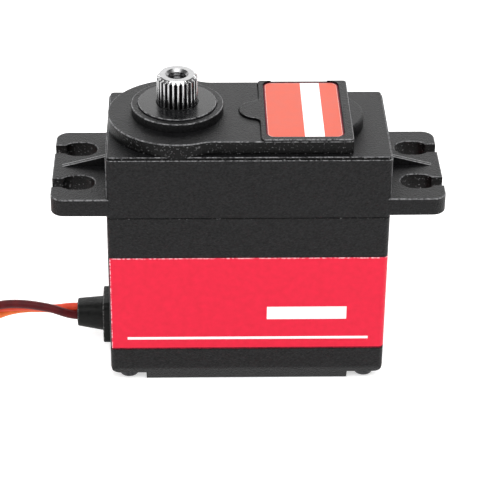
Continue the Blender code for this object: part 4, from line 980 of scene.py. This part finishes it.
def make_top_case():
    low = Z_SEAM + SEAM
    ledge = Z_SHOULDER - RABBET_DROP
    outer_rim = edges(low, ledge, EDGE, RABBET_EDGE)
    inner_rim = edges(ledge - RABBET_EDGE, Z_SHOULDER, 0.0, RABBET_EDGE)
    # The walls carry a painted highlight along their rounded rims and upright corners, and painted shade on
    # the rabbet's step
    wall = slab(case_outline(), outer_rim + [(RABBET_INSET + d, z) for d, z in inner_rim])
    wall = with_dark_step(with_highlit_corners(wall), ledge - RABBET_EDGE)
    root = Z_SHOULDER - WALL / 2
    sunk = Z_HUMP - WALL / 2
    joined = [
        # The hump's walls and the frame's left side are in painted shade
        slab(hump_outline(), edges(root, Z_HUMP, 0.0, HUMP_EDGE), wall=SHADED),
        label_frame(sunk),
        slab(circle(MOTOR_BOSS, MOTOR_X), edges(root, Z_FRAME - MOTOR_BOSS_DROP, 0.0, MOTOR_BOSS_EDGE)),
        slab(circle(COLLAR_RADIUS, OUTPUT_X), edges(sunk, Z_COLLAR, 0.0, COLLAR_EDGE)),
    ]
    removed = [cavity((low - OVERCUT, Z_CEILING))]
    for side in (-1, 1):
        joined += [ear(side), ear_rib(side)]
        removed += [ear_slot(side, -HOLE_Y), ear_slot(side, HOLE_Y)]
    under = Z_CEILING - OVERCUT
    above = Z_CAP + OVERCUT
    cap_seat = [(0.0, CAP_SEAT_LOW), (0.0, Z_COLLAR - CAP_EDGE), (-CAP_EDGE, Z_COLLAR), (-CAP_EDGE, above)]
    removed += [
        rod(WHEEL_ROOM, (under, Z_POCKET), IDLER_X),
        rod(PINION_ROOM, (under, Z_POCKET), MOTOR_X),
        rod(PIN_HOLE, (under, Z_POCKET + PIN_SEAT), IDLER_X),
        rod(BEARING_SEAT, (BEARING_LOW, above), OUTPUT_X),
        slab(circle(CAP_SEAT, OUTPUT_X), cap_seat, leans=(OUTWARDS,)),
        rod(SHAFT_ROOM, (under, above), OUTPUT_X),
        *posts(SCREW_BORE, (low - OVERCUT, TOP_BORE)),
    ]
    x = (TOP_LABEL_X[0] - POCKET_GAP, TOP_LABEL_X[1] + POCKET_GAP)
    y = (TOP_LABEL_Y[0] - POCKET_GAP, TOP_LABEL_Y[1] + POCKET_GAP)
    removed.append(plain(rounded(x, y, TOP_LABEL_CORNER), (POCKET_FLOOR, Z_FRAME + OVERCUT)))
    removed.append(frame_groove())
    notch = (Z_FRAME - BACK_NOTCH_DROP, Z_FRAME + OVERCUT)
    removed.append(block(BACK_NOTCH_X, (TOP_LABEL_Y[1], HUMP_HALF + OVERCUT), notch))
    mesh = carved(wall, joined=joined, removed=removed)
    piece("top_case_shell", mesh, CASE_LOOKS, ["top_case"])


def make_middle_case():
    low = Z_COVER + SEAM
    high = Z_SEAM - SEAM
    side = HALF_WIDTH - LABEL_RECESS
    band = rounded((-HALF_LENGTH, HALF_LENGTH - LABEL_RECESS), about(0.0, side), CASE_CORNER)
    lower = slab(band, edges(low, Z_LABEL_TOP + WALL, EDGE, 0.0))
    # The seam's rounded rim is in painted shade with light specks; the upright corners carry a painted
    # highlight
    upper = with_highlit_corners(slab(case_outline(), edges(Z_LABEL_TOP, high, EDGE, EDGE), edge_look=SHADED))
    above = high + OVERCUT
    under = Z_PLATE_UNDER - OVERCUT
    removed = [
        cavity((low - OVERCUT, Z_PLATE_UNDER)),
        *posts(SCREW_BORE, (low - OVERCUT, above)),
        rod(BEARING_SEAT, (LOWER_BEARING_LOW, above), OUTPUT_X),
        rod(SHAFT_ROOM, (under, above), OUTPUT_X),
        rod(NOSE_HOLE, (under, above), MOTOR_X),
        rod(MOTOR_SCREW_HOLE, (under, above), MOTOR_X, -MOTOR_SCREW_Y),
        rod(MOTOR_SCREW_HOLE, (under, above), MOTOR_X, MOTOR_SCREW_Y),
        rod(PIN_HOLE, (PLATE_PIN_LOW, above), IDLER_X),
        rod(PIN_HOLE, (PLATE_PIN_LOW, above), SIDE_X, SIDE_Y),
        neck_hole(),
    ]
    mesh = carved(lower, joined=[upper], removed=removed)
    piece("middle_case_shell", mesh, CASE_LOOKS, ["middle_case"])


def make_bottom_cover():
    high = Z_COVER - SEAM
    above = high + OVERCUT
    section = [(-HALF_WIDTH, above), (-HALF_WIDTH, FOOT_TOP), (FOOT_INSET - HALF_WIDTH, 0.0)]
    section += flipped_x(section)
    keep_sides = plain(softened(section, FOOT_ROUND), about(0.0, HALF_LENGTH + OVERCUT), ACROSS)
    end = arc(HALF_LENGTH - END_ROUND, FOOT_STEP + END_ROUND, END_ROUND, -pi / 2, 0.0, CORNER_STEPS)
    right = [(FOOT_HALF - EDGE, 0.0), (FOOT_HALF, EDGE), (FOOT_HALF, FOOT_STEP)]
    right += [*end, (HALF_LENGTH, above)]
    keep_ends = plain(flipped_x(right) + right, about(0.0, HALF_WIDTH + OVERCUT), ALONG)
    removed = [
        cavity((COVER_FLOOR, above)),
        *posts(SCREW_BORE, (-OVERCUT, above)),
        neck_hole(),
    ]
    wall = slab(case_outline(), edges(0.0, high, 0.0, EDGE), edge_look=FACE)
    mesh = carved(wall, kept=[keep_sides, keep_ends], removed=removed)
    rib_z = (COVER_FLOOR - WALL / 2, BOARD_RIB_TOP)
    ribs = []
    for x in (-BOARD_RIB_X, BOARD_RIB_X):
        ribs.append(block(about(x, BOARD_RIB_HALF), about(0.0, BOARD_RIB_Y), rib_z))
    piece("bottom_cover_shell", carved(mesh, joined=ribs), CASE_LOOKS, ["bottom_cover"])


def make_case_screws():
    profile = [
        (0.0, HEAD_LOW),
        (HEAD_RADIUS - HEAD_DOME, HEAD_LOW),
        (HEAD_RADIUS - HEAD_DOME / 3, HEAD_LOW + HEAD_DOME / 3),
        (HEAD_RADIUS, HEAD_LOW + HEAD_DOME),
        (HEAD_RADIUS, HEAD_TOP),
        (SCREW_RADIUS, HEAD_TOP),
        (SCREW_RADIUS, SCREW_TIP - SCREW_RADIUS / 2),
        (0.0, SCREW_TIP),
    ]
    z = (HEAD_LOW - OVERCUT, HEAD_LOW + CROSS_DEPTH)
    for number, (x, y) in enumerate(SCREW_PLACES, 1):
        slots = [
            block(about(x, CROSS_REACH), about(y, CROSS_HALF), z),
            block(about(x, CROSS_HALF), about(y, CROSS_REACH), z),
        ]
        mesh = carved(lathe(profile, x, y, SMALL_ROUND), removed=slots)
        piece(f"cover_screw_{number}", mesh, [DARK_STEEL_AND_GROOVE_SHADE], [f"case_screw_{number}"])


# Labels
def make_case_label():
    """One sticker round the front, the right end and the back, with a plain rule and a blank plate."""
    rings = []
    for distance in (0.0, LABEL_THICKNESS):
        side = HALF_WIDTH - distance
        radius = CASE_CORNER - distance
        front = [(LABEL_START, -side)]
        front += arc(HALF_LENGTH - distance - radius, radius - side, radius, -pi / 2, 0.0, CORNER_STEPS)
        rings.append(front + flipped_y(front))
    mesh = plain(rings[0] + rings[1][::-1], (LABEL_LOW, LABEL_HIGH))
    low = LABEL_LOW + LABEL_SHADE_RIM
    high = LABEL_HIGH - LABEL_HIGHLIGHT_RIM
    left = LABEL_START + LABEL_HIGHLIGHT_RIM
    split(mesh, Z_AXIS, [low, high, *RULE_Z, *PLATE_Z])
    split(mesh, X_AXIS, [left, HALF_LENGTH - CASE_CORNER, *RULE_X, *PLATE_X])
    # The lowest rim is in painted shade, the top and left rims carry a painted highlight
    for face in mesh.polygons:
        x = face.center.x
        z = face.center.z
        rule = within(x, RULE_X) and within(z, RULE_Z)
        plate = within(x, PLATE_X) and within(z, PLATE_Z)
        if (rule or plate) and abs(face.normal.y) > SLANT[1]:
            face.material_index = PRINT
        elif z < low:
            face.material_index = SHADED_RIM
        elif z > high or x < left:
            face.material_index = HIGHLIT_RIM
    piece("case_sticker", mesh, [LABEL, LABEL_PRINT, LABEL_EDGE_HIGHLIGHT, LABEL_EDGE_SHADE], ["case_label"])


def make_top_label():
    outline = rounded(TOP_LABEL_X, TOP_LABEL_Y, TOP_LABEL_CORNER)
    high = TOP_LABEL_LOW + LABEL_THICKNESS
    profile = [(0.0, TOP_LABEL_LOW), (0.0, high), (TOP_LABEL_RIMS[0], high), (TOP_LABEL_RIMS[1], high)]
    # The sticker's side and outer edge are in painted shade, with a painted highlight just inside
    mesh = loft(stacked(outline, profile), looks=[SHADED_RIM, SHADED_RIM, HIGHLIT_RIM])
    split(mesh, X_AXIS, TOP_STRIPE_X)
    painted(mesh, PRINT, lambda f: f.material_index != SHADED_RIM and within(f.center.x, TOP_STRIPE_X))
    piece("top_sticker", mesh, [TOP_LABEL, LABEL_PRINT, TOP_LABEL_EDGE_HIGHLIGHT, LABEL_EDGE_SHADE], ["top_label"])


# Output shaft and its cap
def make_bearing_cap():
    profile = [
        (CAP_BORE, CAP_LOW),
        (CAP_RADIUS, CAP_LOW),
        (CAP_RADIUS, Z_CAP - CAP_EDGE),
        (CAP_RADIUS - CAP_EDGE / 3, Z_CAP - CAP_EDGE / 3),
        (CAP_RADIUS - CAP_EDGE, Z_CAP),
        (CAP_BORE, Z_CAP),
    ]
    # The cap's rounded rim carries a painted highlight
    mesh = painted(lathe(profile, OUTPUT_X), EDGE_HIGHLIGHT, lambda face: within(face.normal.z, SLANT))
    piece("shaft_cap", mesh, [CAP, CASE_EDGE_HIGHLIGHT], ["bearing_cap"])


def toothed(tooth, count):
    """A ring of teeth, from the radii along one tooth and their shares of the pitch."""
    points = []
    for number in range(count):
        for radius, share in tooth:
            angle = 2 * pi * (number + share) / count
            points.append((radius * cos(angle), radius * sin(angle)))
    return points


def spline_points(limit):
    """Straight-sided teeth with rounded roots and tips, cut off at a limiting radius."""
    depth = SPLINE_RADIUS - SPLINE_ROOT
    radii = [min(SPLINE_ROOT + rise * depth, limit) for rise in SPLINE_DEPTHS]
    flank = list(zip(radii, SPLINE_SHARES))
    return toothed([(r, -s) for r, s in flank] + flank[-2:0:-1], SPLINE_TEETH)


def gear_points():
    tooth = [(r, -s) for r, s in GEAR_FLANK] + list(reversed(GEAR_FLANK))
    return [(OUTPUT_X + x, y) for x, y in toothed(tooth, GEAR_TEETH)]


def make_output_shaft():
    """The splined shaft with its countersunk threaded hole, and the output gear on it."""
    chamfer_low = Z_SPLINE - SPLINE_CHAMFER
    body = [
        (POT_SOCKET, POT_SOCKET_TOP),
        (POT_SOCKET, SHAFT_LOW),
        (JOURNAL, SHAFT_LOW),
        (JOURNAL, SHAFT_COLLAR_Z[0]),
        (SHAFT_COLLAR, SHAFT_COLLAR_Z[0]),
        (SHAFT_COLLAR, SHAFT_COLLAR_Z[1]),
        (JOURNAL, SHAFT_COLLAR_Z[1]),
        (JOURNAL, SPLINE_LOW),
    ]
    directions = [Vector(p).normalized() for p in spline_points(SPLINE_RADIUS)]

    def turned(profile):
        return [[(r * d.x, r * d.y, z) for d in directions] for r, z in profile]

    rings = turned(body)
    rings.append([(*p, SPLINE_LOW) for p in spline_points(SPLINE_RADIUS)])
    for i in range(CORNER_STEPS):
        share = i / CORNER_STEPS
        limit = SPLINE_RADIUS - SPLINE_CHAMFER * share
        rings.append([(*p, chamfer_low + SPLINE_CHAMFER * share) for p in spline_points(limit)])
    thread_top = Z_SPLINE - (MOUTH_RADIUS - THREAD_CREST)
    hole = [(SPLINE_RADIUS - SPLINE_CHAMFER, Z_SPLINE), (MOUTH_RADIUS, Z_SPLINE), (THREAD_CREST, thread_top)]
    for turn in range(THREAD_TURNS):
        z = thread_top - turn * THREAD_PITCH
        hole += [(THREAD_ROOT, z - THREAD_PITCH / 2), (THREAD_CREST, z - THREAD_PITCH)]
    hole.append((THREAD_CREST, Z_SPLINE - HOLE_DEPTH))
    shaft = loft(rings + turned(hole))
    flank = SPLINE_ROOT + (SPLINE_RADIUS - SPLINE_ROOT) * GROOVE_SHARE
    # The grooves between the teeth and the threaded hole are in painted shade; the end face and the
    # countersink take a darker steel
    for face in shaft.polygons:
        radius = hypot(face.center.x, face.center.y)
        height = face.center.z
        groove = within(radius, (SPLINE_ROOT, flank)) and within(height, (SPLINE_LOW, chamfer_low))
        bore = radius < MOUTH_RADIUS and SPLINE_LOW < height < Z_SPLINE
        crown = face.normal.z > SLANT[1] and height > chamfer_low
        if groove or within(height, about(SPLINE_LOW, WELD)):
            face.material_index = GROOVE_SHADE
        elif bore and height < thread_top:
            face.material_index = THREAD_SHADE
        elif crown or (bore and height > thread_top):
            face.material_index = CROWN
    shaft.transform(Matrix.Translation((OUTPUT_X, 0.0, 0.0)))
    mesh = carved(shaft, joined=[plain(gear_points(), GEAR_Z)])
    looks = [STEEL, DARK_STEEL_AND_GROOVE_SHADE, THREAD_SHADE_STEEL, DARKER_END_STEEL]
    piece("splined_shaft", mesh, looks, ["output_shaft"], "output")


# Strain relief
def sleeve_ring(x, half_y, half_z, middle):
    """A rounded upright ring, between an ellipse and a rectangle."""
    points = []
    for c, s in circle(1.0):
        y = half_y * copysign(abs(c) ** (2 / SLEEVE_POWER), c)
        z = half_z * copysign(abs(s) ** (2 / SLEEVE_POWER), s)
        points.append((x, y, middle + z))
    return points


def make_strain_relief():
    """A rubber bush: outer flange, tapered sleeve, neck through the wall and inner flange."""
    outline = rounded(about(0.0, FLANGE_HALF), FLANGE_Z, FLANGE_CORNER)
    # The flange's rounded edges and the sleeve's rounded tip carry a painted highlight
    flange = slab(outline, edges(*FLANGE_X, FLANGE_EDGE, FLANGE_EDGE), ACROSS, leans=(INWARDS, OUTWARDS))
    rings = []
    for i in range(SLEEVE_STEPS + 1):
        share = i / SLEEVE_STEPS
        size = [a + (b - a) * share for a, b in zip(SLEEVE_ROOT, SLEEVE_TIP)]
        x = SLEEVE_X[0] + (SLEEVE_X[1] + SLEEVE_EDGE - SLEEVE_X[0]) * share
        rings.append(sleeve_ring(x, *size))
    for i in range(1, EDGE_STEPS + 1):
        turn = i / EDGE_STEPS * pi / 2
        less = SLEEVE_EDGE * (1 - cos(turn))
        size = (SLEEVE_TIP[0] - less, SLEEVE_TIP[1] - less, SLEEVE_TIP[2])
        rings.append(sleeve_ring(SLEEVE_X[1] + SLEEVE_EDGE * (1 - sin(turn)), *size))
    sleeve = loft(rings, looks=[FACE] * SLEEVE_STEPS + [EDGE_HIGHLIGHT] * EDGE_STEPS)
    neck_x = (SLEEVE_X[0], (INNER_FLANGE_X[0] + INNER_FLANGE_X[1]) / 2)
    neck = block(neck_x, about(0.0, NECK_HALF[0]), about(LEAD_HEIGHT, NECK_HALF[1]))
    inner = block(INNER_FLANGE_X, about(0.0, INNER_FLANGE_HALF), INNER_FLANGE_Z)
    lying = Matrix.Translation((0.0, 0.0, LEAD_HEIGHT)) @ Matrix.Rotation(-pi / 2, 4, "Y")
    bore = plain(circle(SLEEVE_BORE), (-INNER_FLANGE_X[1] - OVERCUT, -SLEEVE_X[1] + OVERCUT), lying)
    mesh = carved(flange, joined=[sleeve, neck, inner], removed=[bore])
    piece("lead_bush", mesh, [RUBBER, RUBBER_EDGE_HIGHLIGHT], ["strain_relief"])


# Lead
def smooth_route(points, steps):
    """A Catmull-Rom curve through the points, with steps stretches between each two."""
    known = [Vector(p) for p in points]
    known = [2 * known[0] - known[1]] + known + [2 * known[-1] - known[-2]]
    route = []
    for i in range(1, len(known) - 2):
        a, b, c, d = known[i - 1 : i + 3]
        for k in range(steps):
            t = k / steps
            square = 2 * a - 5 * b + 4 * c - d
            cube = 3 * b - a - 3 * c + d
            route.append((2 * b + (c - a) * t + square * t**2 + cube * t**3) / 2)
    return route + [known[-2]]


def eased(share):
    share = min(max(share, 0.0), 1.0)
    return share * share * (3 - 2 * share)


def coil_place(angle):
    """Radius and height of the bundle: outer turn, then one on top, then the inner one."""
    outer = COIL_RADIUS + COIL_STEP
    inner = COIL_RADIUS - COIL_STEP
    gap = 2 * COIL_STEP
    rise = eased((RISE_FROM - 2 * pi - angle) / (RISE_FROM - RISE_TO)) * COIL_LEAN
    drop = eased((DROP_FROM - 4 * pi - angle) / (DROP_FROM - DROP_TO)) * COIL_LEAN
    if drop > 0.0:
        lean = 2 * COIL_LEAN + drop
        return outer + gap * cos(lean), COIL_LIFT + gap * sin(lean)
    return inner + gap * cos(rise), COIL_LIFT + gap * sin(rise)


def round_coil(angle):
    """The move that brings something on the x axis to an angle of the coil."""
    return Matrix.Translation((*COIL_AT, 0.0)) @ Matrix.Rotation(angle, 4, "Z")


def tail_reach():
    """How far from the coil's middle the tail's bend runs out straight."""
    return sqrt((COIL_RADIUS - COIL_STEP - TAIL_BEND) ** 2 - TAIL_BEND**2)


def coil_route():
    """The turns of the coil, wound clockwise seen from above."""
    end = CONNECTOR_ANGLE + atan2(TAIL_BEND, tail_reach()) - COIL_TURNS * 2 * pi
    count = ceil((COIL_START - end) / COIL_TURN_STEP)
    points = []
    for i in range(count + 1):
        angle = COIL_START + (end - COIL_START) * i / count
        radius, height = coil_place(angle)
        points.append(round_coil(angle) @ Vector((radius, 0.0, height)))
    return points


def tail_route():
    """From the inner turn round a bend to the back of the connector."""
    reach = tail_reach()
    sweep = pi - atan2(reach, TAIL_BEND)
    turns = [sweep * (1 - i / TAIL_STEPS) for i in range(1, TAIL_STEPS + 1)]
    flat = [(reach + TAIL_BEND * sin(a), TAIL_BEND - TAIL_BEND * cos(a)) for a in turns]
    end = CONNECTOR_X[1]
    flat += [(reach + (end - reach) * i / TAIL_STEPS, 0.0) for i in range(1, TAIL_STEPS + 1)]
    drop = CONNECTOR_MIDDLE - COIL_LIFT
    heights = [COIL_LIFT + drop * eased(i / TAIL_STEPS) for i in range(1, len(flat) + 1)]
    turn = round_coil(CONNECTOR_ANGLE)
    return [turn @ Vector((x, y, z)) for (x, y), z in zip(flat, heights)]


def nested(lean, loose, number):
    """Place of a wire among the three, which nest in a triangle or lie side by side when loose."""
    bend = NEST_BEND * (1 - loose)
    first = Vector((cos(lean + bend), sin(lean + bend)))
    second = Vector((cos(lean - bend), sin(lean - bend)))
    places = [Vector((0.0, 0.0)), first, first + second]
    return NEST_STEP * (places[number] - (2 * first + second) / 3)


def wire_points(route, tail_length, number):
    """One wire of the twisted three, which lie side by side near the case and at the connector."""
    reached = [0.0, *accumulate((b - a).length for a, b in zip(route, route[1:]))]
    wound_length = reached[-1] - tail_length
    part_turn = TWIST_START / (2 * pi)
    turns = round(wound_length / TWIST_LAY - part_turn) + part_turn
    points = []
    for i, (here, travelled) in enumerate(zip(route, reached)):
        ahead = route[min(i + 1, len(route) - 1)] - route[max(i - 1, 0)]
        side = ahead.cross(Z_AXIS).normalized()
        up = side.cross(ahead).normalized()
        twist = min(travelled / wound_length, 1.0) ** TWIST_EASE * turns
        opening = eased((travelled - RIBBON_FROM) / RIBBON_FROM_EASE)
        closing = eased((RIBBON_TO - travelled) / RIBBON_TO_EASE)
        place = nested(TWIST_START - 2 * pi * twist, opening * closing, number)
        wound = place.x * side + place.y * up
        flat = eased(1 - (reached[-1] - travelled) / tail_length)
        spread = TAIL_PITCH + (CONTACT_PITCH - TAIL_PITCH) * flat
        points.append(here + wound * (1 - flat) + (number - 1) * spread * side * flat)
    return points


def make_wires():
    coil = coil_route()
    tail = tail_route()
    lead = smooth_route([*LEAD_ROUTE, coil[0]], ROUTE_STEPS)
    route = lead[:-1] + coil + tail
    tail_length = sum((b - a).length for a, b in zip([coil[-1]] + tail, tail))
    for number, (colour, look) in enumerate(WIRES.items()):
        name = f"wire_{colour}"
        curve = bpy.data.curves.new(name, "CURVE")
        curve.dimensions = "3D"
        curve.bevel_depth = WIRE_DIAMETER / 2
        curve.bevel_resolution = WIRE_STEPS
        curve.use_fill_caps = True
        points = wire_points(route, tail_length, number)
        spline = curve.splines.new("POLY")
        spline.points.add(len(points) - 1)
        for point, at in zip(spline.points, points):
            point.co = (*at, 1.0)
        spline.use_smooth = True
        curve.materials.append(look)
        wire = placed(name, curve)
        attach(wire, "case")
        stands_for = [f"lead_{colour}", f"lead_tail_{colour}"]
        if number == 0:
            stands_for.append("lead_coil")
        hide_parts(*stands_for)


def make_coil_tie():
    """A strap round the coil's turns."""
    inner = (COIL_HALF[0] + TIE_GAP, COIL_HALF[1] + TIE_GAP)
    outer = (inner[0] + TIE_THICKNESS, inner[1] + TIE_THICKNESS)
    loops = []
    for half in (outer, inner):
        loops.append(rounded(about(COIL_RADIUS, half[0]), about(COIL_MIDDLE, half[1]), TIE_CORNER))
    turn = round_coil(TIE_ANGLE) @ ALONG
    strap = slab(loops[0], edges(-TIE_HALF, TIE_HALF, EDGE, EDGE), turn)
    room = plain(loops[1], about(0.0, TIE_HALF + OVERCUT), turn)
    return piece("coil_strap", carved(strap, removed=[room]), [RUBBER], ["coil_tie"])


def make_connector():
    """A three-way housing with square sockets and latch windows."""
    outline = rounded(CONNECTOR_X, about(0.0, CONNECTOR_HALF), CONNECTOR_CORNER)
    housing = slab(outline, edges(*CONNECTOR_Z, CONNECTOR_EDGE, CONNECTOR_EDGE))
    x = (CONNECTOR_X[0] - OVERCUT, CONNECTOR_X[1] + OVERCUT)
    latch_x = (WINDOW_X[0] + LATCH_GAP, WINDOW_X[1] + OVERCUT)
    latch_z = (CONNECTOR_MIDDLE + LATCH_LOW, CONNECTOR_Z[1] - CONNECTOR_EDGE)
    window_z = (CONNECTOR_MIDDLE, CONNECTOR_Z[1] + OVERCUT)
    removed = []
    latches = []
    for y in (-CONTACT_PITCH, 0.0, CONTACT_PITCH):
        removed.append(block(x, about(y, CONTACT_ROOM), about(CONNECTOR_MIDDLE, CONTACT_ROOM)))
        removed.append(block(WINDOW_X, about(y, WINDOW_HALF), window_z))
        latches.append(block(latch_x, about(y, WINDOW_HALF - LATCH_GAP), latch_z))
    mesh = carved(carved(housing, removed=removed), joined=latches)
    mesh.transform(round_coil(CONNECTOR_ANGLE))
    return piece("servo_connector", mesh, [CHIP], ["connector_housing"])


# Pieces that keep the shape of their solids
def dress_inner_pieces():
    for row in frame["record"]["subparts"]:
        mesh = frame["nodes"][row["node"]].data
        mesh.materials.clear()
        mesh.materials.append(SLOT_LOOKS[row["material_slot"]])


make_camera()
make_lights()
make_floor()
dress_inner_pieces()
connector = make_connector()
strap = make_coil_tie()
make_wires()
make_top_case()
make_middle_case()
make_bottom_cover()
make_case_screws()
make_case_label()
make_top_label()
make_bearing_cap()
make_output_shaft()
make_strain_relief()
